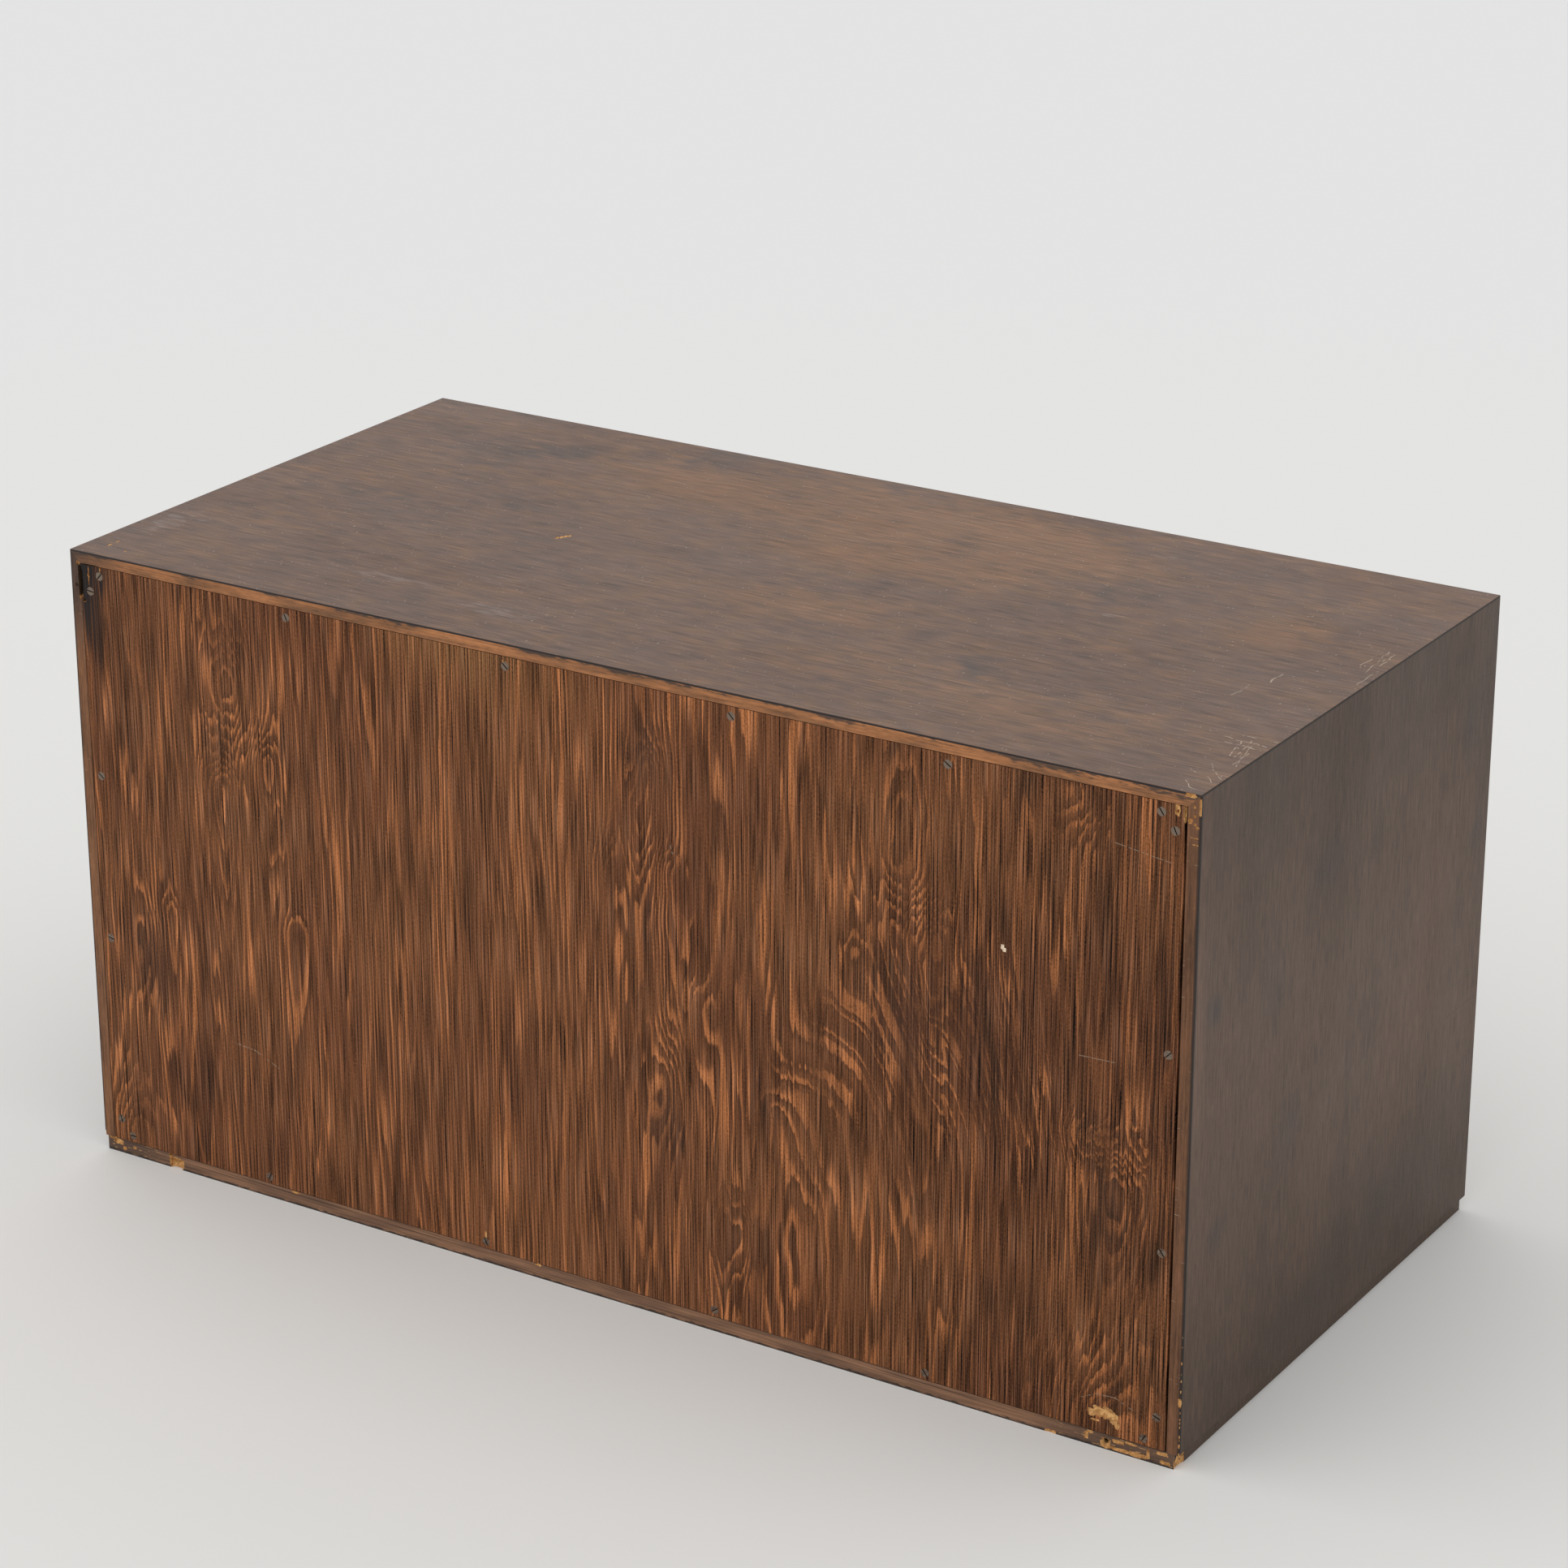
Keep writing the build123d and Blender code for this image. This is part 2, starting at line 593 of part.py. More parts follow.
def drawer_side(side, level):
    """A side board: tails at both ends, a groove for the bottom and one for the runner."""
    low = drawer_low(level)
    x = side_span(side)
    board = block(x, (INSIDE_Y, DRAWER_END_Y), (low, low + DRAWER_SIDE_HEIGHT))
    pins = block(x, (DRAWER_END_Y - DRAWER_BACK, DRAWER_END_Y), (low + BACK_LOW, low + BACK_HIGH))
    board = board - cut(pins, back_tails(side, level))
    for tail in front_tails(side, level):
        board = board + tail
    outer = x[0] if side < 0 else x[1]
    groove_x = sorted((outer + side * OVERRUN, outer - side * RUNNER_GROOVE))
    middle = low + RUNNER_RISE
    groove_z = (middle - RUNNER_HEIGHT / 2 - RUNNER_PLAY, middle + RUNNER_HEIGHT / 2 + GROOVE_PLAY)
    groove = block(groove_x, (GROOVE_END_Y, DRAWER_END_Y + OVERRUN), groove_z)
    return cut(board, [bottom_groove(level), groove])


def drawer_back(level):
    low = drawer_low(level)
    y = (DRAWER_END_Y - DRAWER_BACK, DRAWER_END_Y)
    back = block((DRAWER_LEFT, DRAWER_RIGHT), y, (low + BACK_LOW, low + BACK_HIGH))
    return cut(back, back_tails(-1, level) + back_tails(1, level) + bottom_screw_holes(level))


def drawer_bottom(level):
    """The sheet that slides in from behind, under the back."""
    x = (side_span(-1)[1] - BOTTOM_GROOVE + RUNNER_PLAY, side_span(1)[0] + BOTTOM_GROOVE - RUNNER_PLAY)
    y = (INSIDE_Y - BOTTOM_GROOVE + RUNNER_PLAY, DRAWER_END_Y)
    low = drawer_low(level) + BOTTOM_RISE + GROOVE_PLAY
    return cut(block(x, y, (low, low + BOTTOM_SHEET)), bottom_screw_holes(level))


def drawer_runner(side, level):
    """A strip that stands in a drawer side's groove, and stops the drawer when it closes."""
    wall = BAY_X if side < 0 else INNER_X
    x = sorted((wall, wall - side * RUNNER_THICK))
    middle = drawer_low(level) + RUNNER_RISE
    z = (middle - RUNNER_HEIGHT / 2, middle + RUNNER_HEIGHT / 2)
    strip = block(x, (GROOVE_END_Y + RUNNER_PLAY, SHEET_Y - RUNNER_BACK_GAP), z)
    hole = countersunk_blank(RUNNER_SCREW, HOLE_CLEAR)
    return cut(strip, [place * hole for place in runner_screw_places(side, level)])


# Every node
nodes = {
    "top_panel": top_panel(),
    "bottom_panel": bottom_panel(),
    "left_side_panel": side_panel(-1),
    "right_side_panel": side_panel(1),
    "centre_partition": centre_partition(),
    "back_panel": back_panel(),
    "back_screws": group(p * countersunk_screw(SHEET_SCREW, turn) for p, turn in sheet_screw_places()),
    "left_mitre_tongue": mitre_tongue(-1),
    "right_mitre_tongue": mitre_tongue(1),
    "side_dowels": group(dowels(-1) + dowels(1)),
    "shelf": shelf(),
    "shelf_pegs": shelf_pegs(),
    "door_panel": door_panel(),
    "door_knob": knob(door_knob_place()),
    "door_knob_screw": knob_screw(door_knob_place()),
    "catch_magnet": catch_magnet(),
    "catch_screws": group(p * countersunk_screw(CATCH_SCREW) for p in catch_screw_places()),
    "catch_plate": catch_plate(),
    "catch_plate_screws": group(p * countersunk_screw(PLATE_SCREW) for p in plate_screw_places()),
}

for name, height in HINGE_HEIGHTS.items():
    nodes[f"{name}_hinge_case_leaf"] = hinge_leaf(height, -1)
    nodes[f"{name}_hinge_door_leaf"] = hinge_leaf(height, 1)
    nodes[f"{name}_hinge_pin"] = hinge_pin(height)

for name, side in (("case", -1), ("door", 1)):
    places = [place for height in HINGE_HEIGHTS.values() for place in leaf_screw_places(height, side)]
    nodes[f"hinge_{name}_screws"] = group(place * countersunk_screw(LEAF_SCREW) for place in places)

runner_screws = []
for level, drawer in enumerate(DRAWERS):
    nodes[f"{drawer}_front"] = drawer_front(level)
    nodes[f"{drawer}_back"] = drawer_back(level)
    nodes[f"{drawer}_bottom"] = drawer_bottom(level)
    bottom_screws = [place * countersunk_screw(SHEET_BOTTOM_SCREW) for place in bottom_screw_places(level)]
    nodes[f"{drawer}_bottom_screws"] = group(bottom_screws)
    nodes[f"{drawer}_knob"] = knob(drawer_knob_place(level))
    nodes[f"{drawer}_knob_screw"] = knob_screw(drawer_knob_place(level))
    for name, side in (("left", -1), ("right", 1)):
        nodes[f"{drawer}_{name}_side"] = drawer_side(side, level)
        nodes[f"{drawer}_{name}_runner"] = drawer_runner(side, level)
        places = runner_screw_places(side, level)
        runner_screws += [place * countersunk_screw(RUNNER_SCREW) for place in places]
nodes["runner_screws"] = group(runner_screws)

os.makedirs("parts", exist_ok=True)
for name, shape in nodes.items():
    export_step(shape, f"parts/{name}.step")
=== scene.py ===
"""The looks of a stained cabinet seen from behind: finishes, chips and wear, light and camera."""

import math

import bmesh
import bpy
from mathutils import Matrix, Vector, noise


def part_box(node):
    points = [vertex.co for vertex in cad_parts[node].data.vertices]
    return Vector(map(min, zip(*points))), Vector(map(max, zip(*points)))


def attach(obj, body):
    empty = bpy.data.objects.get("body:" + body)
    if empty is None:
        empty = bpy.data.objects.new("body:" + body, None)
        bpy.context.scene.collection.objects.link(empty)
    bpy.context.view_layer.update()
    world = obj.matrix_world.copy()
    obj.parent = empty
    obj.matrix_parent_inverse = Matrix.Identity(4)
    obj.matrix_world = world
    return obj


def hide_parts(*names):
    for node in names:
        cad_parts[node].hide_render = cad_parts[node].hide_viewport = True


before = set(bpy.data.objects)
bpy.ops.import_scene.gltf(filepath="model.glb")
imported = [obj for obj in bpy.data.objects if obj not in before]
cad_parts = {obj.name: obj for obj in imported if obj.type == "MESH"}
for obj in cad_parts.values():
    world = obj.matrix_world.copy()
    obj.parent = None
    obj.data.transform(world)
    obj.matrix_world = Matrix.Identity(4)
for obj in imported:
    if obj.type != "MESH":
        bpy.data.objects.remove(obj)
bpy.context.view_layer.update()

MM = 1000.0

# Camera, found from the corners of the cabinet in the photograph
AZIMUTH = 212.2888
ELEVATION = 21.2913
ROLL = -0.0576
CAMERA_PLACE = (-1.7862, 2.8128, 1.6436)
LENS = 103.98
SENSOR = 36.0

# Light and floor
WORLD_LIGHT = 0.79
BACKDROP = (0.757, 0.757, 0.757)
KEY_STRENGTH = 0.65
KEY_DIRECTION = (-0.30, -0.35, -1.0)
KEY_SPREAD = 90.0
FLOOR_NEAR = (0.805, 0.800, 0.782)
FLOOR_FAR = (0.79, 0.79, 0.789)
FLOOR_RADIUS = 30.0
FLOOR_SIDES = 96
FLOOR_FADE = (0.9, 3.2)

# The cabinet's faces, in millimetres, read from the frame
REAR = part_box("back_panel")[1].y * MM
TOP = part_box("top_panel")[1].z * MM
HALF_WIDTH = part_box("right_side_panel")[1].x * MM

# Figure in the back sheet: across, height, half width, reach up and down (mm) and rings
EYES = (
    (350, 436, 25, 44, 38, 4.2),
    (312, 378, 12, 22, 110, -2.8),
    (356, 352, 16, 20, 80, -3.2),
    (-47, 449, 14, 17, 22, 1.6),
    (-42, 410, 15, 60, 52, 4.6),
    (-14, 362, 12, 22, 130, -2.4),
    (-72, 364, 15, 26, 140, -2.8),
    (-262, 424, 31, 150, 40, 5.0),
    (-228, 340, 12, 14, 40, -1.2),
    (-292, 366, 11, 20, 110, -2.2),
    (-59, 200, 19, 36, 70, 3.4),
    (-98, 262, 16, 24, 80, -2.0),
    (447, 206, 19, 48, 60, 3.2),
    (418, 226, 12, 20, 90, -2.2),
    (460, 16, 24, 46, 90, -4.6),
    (-157, 198, 14, 14, 40, 1.6),
    (-172, 96, 30, 96, 170, 3.6),
    (-444, 206, 24, 36, 60, 3.2),
    (-446, 246, 36, 13, 16, -2.0),
    (-117, 86, 18, 30, 36, 2.6),
    (-446, 10, 54, 62, 80, -4.2),
    (-400, 503, 26, 20, 24, 2.4),
    (287, 238, 14, 18, 80, -1.5),
)
EYE_PULL = 0.85
# Where the fibres keep together round the figure: across, height, half width, half height (mm), strength
CALM_AREAS = (
    (344, 400, 44, 76, 1.0),
    (-44, 392, 50, 90, 1.0),
    (-258, 380, 56, 80, 1.0),
    (-70, 210, 54, 70, 1.0),
    (440, 206, 40, 70, 1.0),
    (458, 34, 38, 58, 1.2),
    (-154, 206, 36, 40, 1.0),
    (-444, 216, 50, 66, 1.0),
    (-117, 86, 30, 50, 1.0),
    (-446, 20, 70, 76, 0.9),
    (287, 236, 20, 36, 0.8),
)
# The bands that swing sideways as they come down (mm): how far, where across the swing begins and ends,
# and from its near to its far line the middle height of the swing and half its height
SWING_BY = 76
SWING_FROM = (-126, -242)
SWING_TO = (-440, -300)
SWING_NEAR, SWING_FAR = -150, -248
SWING_MIDDLE = (238, 284)
SWING_REACH = (26, 94)
# The straight part, where the rings lie close: from and to across (mm) and rings more
STRAIGHT = (-10, 240, 16)
# The swing and both ends, where they lie further apart: from and to across (mm) and rings fewer
WIDE_PARTS = ((-112, -300, -7), (-290, -480, -4), (235, 485, 6))
RING_SPACING = 9.0
# Dark stain where the sheet stays wet: across, height, half width, half height (mm) and strength
STAINS = (
    (487, 484, 15, 40, 0.92),
    (486, 508, 30, 14, 0.75),
    (-60, 170, 26, 48, 0.45),
    (-46, 322, 22, 20, 0.45),
    (-150, 196, 26, 22, 0.40),
    (-440, 190, 30, 40, 0.40),
    (440, 196, 26, 50, 0.45),
    (-45, 456, 26, 34, 0.40),
    (-117, 66, 24, 40, 0.35),
    (-262, 300, 34, 60, 0.45),
    (345, 322, 22, 26, 0.35),
    (-330, 300, 26, 80, 0.35),
)
GROOVE_SPACING = 3.6
# The part with the longest streaks: its middle across and half width (mm)
LONG_STREAKS = (112, 150)
# Streaks to a millimetre of height, there and elsewhere
STREAKS_LONG, STREAKS_SHORT = 1 / 165, 1 / 90
# The darker parts at the right and at the left of the photograph: how far from the middle across they
# begin and are full (mm)
RIGHT_PART = (130.0, 420.0)
LEFT_PART = (150.0, 400.0)
# Where the stain is thin, under the top: across, height, half width and half height (mm)
OLIVE = (112, 520, 74, 34)
# Scratches in the back sheet: start and end (across, height) and half width, in millimetres
BACK_SCRATCHES = (
    ((-418, 36), (-432, 43), 0.55),
    ((-432, 43), (-447, 44), 0.55),
    ((-447, 44), (-462, 38), 0.55),
    ((356, 130), (336, 128), 0.8),
    ((336, 128), (312, 118), 0.6),
    ((-411, 307), (-440, 308), 0.5),
    ((-432, 474), (-478, 468), 0.5),
    ((-66, 392), (-68, 386), 0.9),
)

# Top: warm and dark clouds and pale scuffs, as across, depth, half sizes (mm) and strength
TOP_WARM = (
    (-85, -185, 150, 46, 0.9),
    (-44, -72, 110, 40, 0.8),
    (-405, -75, 44, 40, 0.7),
    (190, -160, 110, 50, 0.6),
    (-40, -126, 160, 30, 0.5),
    (-60, 60, 120, 40, 0.5),
    (-260, 170, 200, 40, 0.35),
)
TOP_DARK = (
    (319, -179, 40, 24, 0.8),
    (-247, -97, 24, 38, 0.6),
    (-244, 109, 15, 28, 0.9),
    (200, -235, 30, 20, 0.7),
    (37, -222, 26, 22, 0.7),
    (381, -4, 60, 22, 0.5),
    (256, -29, 30, 14, 0.7),
    (345, -120, 30, 50, 0.4),
    (70, 205, 20, 14, 0.6),
    (0, 80, 60, 16, 0.4),
)
TOP_SCUFFS = (
    (236, 170, 40, 9, 0.9),
    (125, 190, 44, 11, 0.9),
    (160, 128, 30, 10, 0.5),
    (478, 150, 10, 44, 0.8),
    (452, 132, 7, 9, 0.6),
    (445, 190, 16, 16, 0.4),
    (-241, -192, 12, 4, 0.9),
    (-268, -45, 10, 4, 0.9),
    (305, -4, 26, 4, 0.6),
)
TOP_SCRATCHES = (
    ((-437, 2), (-438, 28), 0.6),
    ((-428, 34), (-427, 60), 0.5),
    ((-478, -72), (-480, -42), 0.6),
    ((-488, -66), (-487, -34), 0.5),
    ((-458, 138), (-498, 141), 0.7),
    ((-466, 146), (-496, 150), 0.6),
    ((-472, 129), (-498, 131), 0.6),
    ((-476, 140), (-481, 170), 0.5),
    ((-482, 136), (-484, 172), 0.5),
    ((-485, 142), (-490, 176), 0.5),
    ((-490, 160), (-491, 184), 0.6),
    ((-478, 150), (-496, 186), 0.4),
    ((-490, -80), (-491, -52), 0.5),
    ((-483, -84), (-486, -60), 0.5),
    ((-494, -40), (-494, -8), 0.5),
    ((-398, -124), (-401, -127), 0.7),
    ((-455, -124), (-458, -122), 0.7),
    ((-470, 205), (-495, 222), 0.5),
    ((-478, 190), (-497, 214), 0.5),
    ((-476, 228), (-490, 240), 0.6),
)

# Side: dark clouds, as depth, height, half sizes (mm) and strength
SIDE_DARK = (
    (212, 346, 14, 12, 0.8),
    (122, 330, 30, 40, 0.5),
    (32, 392, 30, 26, 0.6),
    (-36, 396, 22, 26, 0.5),
    (78, 205, 20, 34, 0.5),
    (202, 166, 18, 16, 0.6),
    (-205, 425, 20, 30, 0.6),
    (-232, 328, 12, 18, 0.7),
    (60, 40, 90, 30, 0.5),
    (-90, 70, 60, 26, 0.4),
)
SIDE_SCRATCHES = (
    ((-62, 383), (-64, 358), 0.6),
    ((-224, 250), (-226, 228), 0.5),
    ((-185, 191), (-243, 190), 0.4),
    ((-131, 96), (-130, 24), 0.4),
    ((-222, 463), (-238, 461), 0.7),
    ((231, 462), (233, 440), 0.6),
)

# Chips: centre and half sizes (mm) of what has broken away from each panel
CHIPS = {
    "bottom_panel": [
        ((425, 247.5, 4.6), (8.0, 4.0, 5.4)),
        ((430, 247.5, 12), (2.6, 3.0, 2.4)),
        ((485.6, 247.5, 9), (5.0, 2.0, 2.4)),
        ((491, 247.5, 11.4), (4.0, 1.4, 1.2)),
        ((479.4, 247.5, 4.4), (1.8, 1.6, 1.6)),
        ((468.7, 247.5, 7.4), (1.8, 1.0, 1.3)),
        ((-395, 247.5, 1.2), (5.0, 1.0, 1.3)),
        ((-424.5, 247.5, 7.5), (1.7, 0.9, 3.2)),
        ((-427.6, 247.5, 10.8), (2.4, 0.8, 1.1)),
        ((-440.4, 247.5, 6.6), (1.9, 10.0, 2.2)),
        ((-440.6, 247.5, 5.2), (4.0, 1.2, 4.2)),
        ((-450.5, 247.5, 9.0), (5.0, 1.0, 1.6)),
        ((-461, 247.5, 10.2), (5.0, 0.7, 1.0)),
        ((-452, 247.5, 2.6), (8.0, 1.4, 1.5)),
        ((-466, 247.5, 3.0), (8.0, 1.2, 2.0)),
        ((-475.3, 247.5, 5.6), (1.4, 1.0, 4.4)),
        ((-486.7, 247.5, 9.8), (5.0, 0.9, 1.5)),
        ((-489, 247.5, 3.2), (4.6, 0.9, 1.6)),
        ((-497, 240.5, 4), (1.6, 7.5, 6.0)),
        ((300.6, 247.5, 10.9), (4.2, 0.8, 1.1)),
        ((62.2, 247.5, 11.3), (3.2, 0.7, 0.9)),
    ],
    "back_panel": [
        ((-428.2, 247.5, 27.0), (3.2, 0.6, 3.0)),
        ((-434.5, 247.5, 29.4), (5.0, 0.7, 4.0)),
        ((-441.5, 247.5, 29.0), (5.4, 0.8, 4.8)),
        ((-447.0, 247.5, 26.4), (3.8, 0.8, 4.8)),
        ((-449.4, 247.5, 22.0), (2.0, 0.7, 3.2)),
        ((-431.0, 247.5, 21.6), (3.6, 0.4, 0.9)),
        ((-347.6, 247.5, 375.4), (1.5, 0.8, 1.9)),
        ((-349.0, 247.5, 373.6), (1.5, 0.8, 1.7)),
        ((-482.2, 247.5, 508.6), (1.8, 1.2, 5.0)),
        ((-482.0, 247.5, 506.4), (0.9, 3.5, 1.2)),
        ((-488.4, 247.5, 506), (1.5, 2.6, 6.8)),
        ((489.8, 244.5, 496), (1.8, 9.0, 14.0)),
        ((488.8, 246.0, 481.6), (2.6, 5.0, 1.7)),
        ((481.9, 247.5, 503.2), (1.2, 4.0, 1.4)),
        ((482.0, 247.5, 503.4), (0.45, 0.8, 7.6)),
        ((470.3, 247.5, 509.2), (0.45, 0.6, 2.4)),
        ((81.7, 247.5, 502.8), (0.55, 0.6, 2.2)),
        ((80.7, 247.5, 504.9), (1.2, 0.5, 0.6)),
        ((82.0, 247.5, 507.0), (0.55, 0.5, 1.9)),
        ((79.3, 247.5, 506.8), (0.5, 0.5, 1.9)),
        ((112, 247.5, 24.5), (1.0, 0.5, 2.6)),
    ],
    "left_side_panel": [
        ((-499.4, 247.5, 55), (1.9, 1.4, 3.2)),
        ((-492, 247.5, 501.8), (1.7, 2.2, 2.1)),
        ((-494.7, 247.5, 512.4), (1.0, 0.7, 1.1)),
        ((-495.4, 247.5, 505.7), (1.0, 0.7, 1.1)),
        ((-495.8, 247.5, 499.6), (1.0, 0.7, 1.1)),
        ((-497.6, 247.5, 497.4), (1.2, 0.7, 1.0)),
        ((-495.7, 247.5, 489.8), (3.2, 0.35, 0.45)),
        ((-496.4, 247.5, 484.9), (2.4, 0.35, 0.40)),
        ((-500, 247.5, 513), (1.4, 1.2, 7.0)),
    ],
    "right_side_panel": [
        ((491.2, 247.5, 496), (1.9, 6.0, 14.5)),
        ((494.4, 247.5, 493.2), (1.5, 1.0, 1.5)),
        ((492.3, 247.5, 511.4), (1.7, 1.4, 1.7)),
        ((500, 247.5, 14), (1.4, 1.2, 2.6)),
    ],
    "top_panel": [
        ((190.6, 21.0, 522), (1.5, 2.2, 0.45)),
        ((188.6, 17.8, 522), (1.7, 2.6, 0.55)),
        ((186.4, 14.4, 522), (1.6, 2.6, 0.5)),
        ((184.6, 11.6, 522), (1.1, 1.8, 0.4)),
        ((479.5, 223.0, 522), (0.9, 3.2, 0.35)),
        ((479.5, 213.4, 522), (0.7, 2.2, 0.3)),
        ((458.6, 229.2, 522), (1.1, 1.1, 0.3)),
        ((480, 247.5, 512.0), (8.5, 0.8, 0.5)),
        ((-492, 247.5, 520.4), (4.0, 1.2, 1.6)),
    ],
}
# The hole that a lost knot left in the bottom: across, height and half sizes (mm)
KNOT_HOLE = (-440.4, 6.6, 3.4, 3.6)
# The one chip that is still fresh and pale, in the back: across, height and half sizes (mm)
FRESH_CHIP = (-348, 374.7, 5, 6)
# How deep under the rear face the painted shade in the knot hole begins and is black (mm)
KNOT_SHADE = (0.4, 1.8)
# The wet broken corner, black with stain and painted shade in its hollow: where its black begins and is full
# across, at its foot and at its head (mm)
CORNER_STAIN_AND_SHADE_ACROSS = (486.6, 488.4)
CORNER_STAIN_AND_SHADE_FOOT = (483.0, 485.5)
CORNER_STAIN_AND_SHADE_HEAD = (511.5, 509.5)
# Small flakes along the left rear arris: lowest and highest height, spacing and half size (mm), and how
# many times that size the lowest has and the sizes differ by
FLAKES_LOW, FLAKES_HIGH = 15.0, 112.0
FLAKE_SPACING = 4.7
FLAKE_SIZE = 0.62
FLAKE_LOWEST = 1.25
FLAKE_UNEVEN = 0.9
# Form of a chip: the power that makes a ball blocky, how finely it is divided, its roughness, the scale
# of that and of a finer layer, and the step through the noise from one chip to the next
CHIP_SQUARE = 0.62
CHIP_DETAIL = 3
CHIP_ROUGH = 0.28
CHIP_GRAIN = 1.6
CHIP_FINER = 3
CHIP_STEP = (3.7, 1.3, 2.1)
# A face whose normal is this near to an axis is shaded flat
FLAT_FACE = 0.9999
# A face belongs to a side of the cabinet if its normal leans to it by this much and its centre lies
# within a reach of the outermost plane (mm)
FACE_LEAN = 0.6
FACE_REACH = 2.0
END_REACH = 5.0
# Points nearer than this are one, and edges shorter than this are dropped (m)
SEAM_GAP = 1e-6
SHORT_EDGE = 1e-7

# Where marks begin and are full, in millimetres: the rubbed end of the top, the painted light on the rear
# of the sides in depth and height, and the darker foot and head of the sides
TOP_RUBBED = (440.0, 500.0)
SIDE_LIT_DEPTH = (222.0, 240.0)
SIDE_LIT_HEIGHT = (200.0, 330.0)
SIDE_FOOT = (40.0, 210.0)
SIDE_HEAD = (320.0, 490.0)
# The same for the rear edges: the wet corner of the top and of the sides, the spilt stain on the top,
# the brighter of the sides, and the dark ends of the bottom
TOP_EDGE_WET = (430.0, 486.0)
SIDE_EDGE_WET = (424.0, 484.0)
TOP_EDGE_SPILL = (-150.0, 420.0)
SIDE_EDGE_BRIGHT = (-300.0, 300.0)
BASE_LEFT_END = (360.0, 460.0)
BASE_RIGHT_END = (415.0, 475.0)
# Black arrises: where they begin and are full (mm)
SIDE_TOP_RIM = (TOP - 2.2, TOP - 1.2)
SIDE_REAR_RIM = (REAR - 3.4, REAR - 1.8)
TOP_EDGE_RIM = (TOP - 1.9, TOP - 1.1)
SIDE_EDGE_RIM = (HALF_WIDTH - 2.0, HALF_WIDTH - 1.0)
BASE_EDGE_RIM = (2.4, 0.8)
# Screws: heights between which the rust fades (mm), and where a slot turns black, by depth (mm) and by tilt
RUST_FADE = (60.0, 420.0)
SLOT_DEPTH = (0.15, 0.35)
SLOT_TILT = (0.97, 0.80)
# End grain shows where a face's normal runs along the fibres by this much
END_GRAIN = (0.6, 0.8)
# A scratch is full over this share of its half width
SCRATCH_CORE = 0.3

# Colours of the finishes, linear red, green and blue
BACK_DEEP_BROWN = (0.130, 0.048, 0.021)
BACK_RED_BROWN = (0.172, 0.068, 0.028)
BACK_OLIVE = (0.235, 0.118, 0.042)
BACK_AMBER = (0.425, 0.155, 0.055)
BACK_DARK_FIBRE = (0.048, 0.019, 0.008)
BACK_BLOT = (0.046, 0.020, 0.010)
# Painted highlight on the fine fibres of the back sheet
BACK_PAINTED_GLINT = (0.46, 0.30, 0.20)
BACK_WET_BLACK = (0.020, 0.017, 0.017)
BACK_SCRATCH_PALE = (0.36, 0.27, 0.20)
TOP_GREY_BROWN = (0.130, 0.079, 0.058)
TOP_WARM_BROWN = (0.214, 0.110, 0.055)
TOP_CLOUD_BROWN = (0.088, 0.062, 0.053)
TOP_SCUFF_GREY = (0.27, 0.215, 0.190)
TOP_SAND_PALE = (0.34, 0.225, 0.16)
TOP_SAND_DARK = (0.070, 0.042, 0.031)
TOP_SPECK_PALE = (0.50, 0.40, 0.32)
TOP_SCRATCH_PALE = (0.52, 0.42, 0.32)
SIDE_DEEP_BROWN = (0.092, 0.057, 0.040)
SIDE_BROWN = (0.116, 0.071, 0.048)
SIDE_CLOUD_BROWN = (0.066, 0.047, 0.040)
# Painted light on the upper rear of the sides
SIDE_LIT_BROWN = (0.175, 0.100, 0.066)
SIDE_SCRATCH_DARK = (0.045, 0.034, 0.030)
SIDE_BLACK = (0.012, 0.009, 0.008)
FRONT_GREY_BROWN = (0.130, 0.084, 0.062)
FRONT_WARM_BROWN = (0.190, 0.106, 0.066)
TOP_EDGE_BROWN = (0.200, 0.092, 0.042)
TOP_EDGE_ORANGE = (0.380, 0.160, 0.064)
TOP_EDGE_WET_BROWN = (0.070, 0.045, 0.034)
TOP_EDGE_INK = (0.062, 0.044, 0.036)
TOP_EDGE_BLACK = (0.024, 0.020, 0.020)
SIDE_EDGE_DULL = (0.154, 0.070, 0.034)
SIDE_EDGE_WARM = (0.205, 0.090, 0.040)
SIDE_EDGE_WET_BROWN = (0.050, 0.035, 0.030)
SIDE_EDGE_RUBBED = (0.42, 0.30, 0.21)
BASE_EDGE_BROWN = (0.176, 0.093, 0.056)
BASE_EDGE_PALE = (0.275, 0.145, 0.082)
BASE_EDGE_STREAK = (0.062, 0.036, 0.026)
BASE_EDGE_END = (0.050, 0.034, 0.028)
BASE_EDGE_FLAKE = (0.50, 0.285, 0.120)
EDGE_BLACK = (0.026, 0.020, 0.018)
RAW_ORANGE = (0.42, 0.195, 0.062)
RAW_YELLOW = (0.76, 0.43, 0.165)
RAW_DIRT = (0.075, 0.042, 0.026)
RAW_FRESH = (0.86, 0.72, 0.55)
# Black of stain and painted shade in the wet corner, and of painted shade in the knot hole
RAW_BLACK = (0.016, 0.012, 0.010)
KNOB_DARK = (0.062, 0.034, 0.023)
KNOB_BROWN = (0.128, 0.067, 0.040)
BRASS_BRIGHT = (0.70, 0.50, 0.21)
BRASS_TARNISH = (0.30, 0.19, 0.085)
STEEL_DULL = (0.190, 0.140, 0.104)
STEEL_RUST = (0.088, 0.047, 0.028)
SLOT_BLACK = (0.016, 0.011, 0.009)
ENAMEL_BROWN = (0.115, 0.075, 0.050)
ENAMEL_WORN = (0.175, 0.125, 0.090)
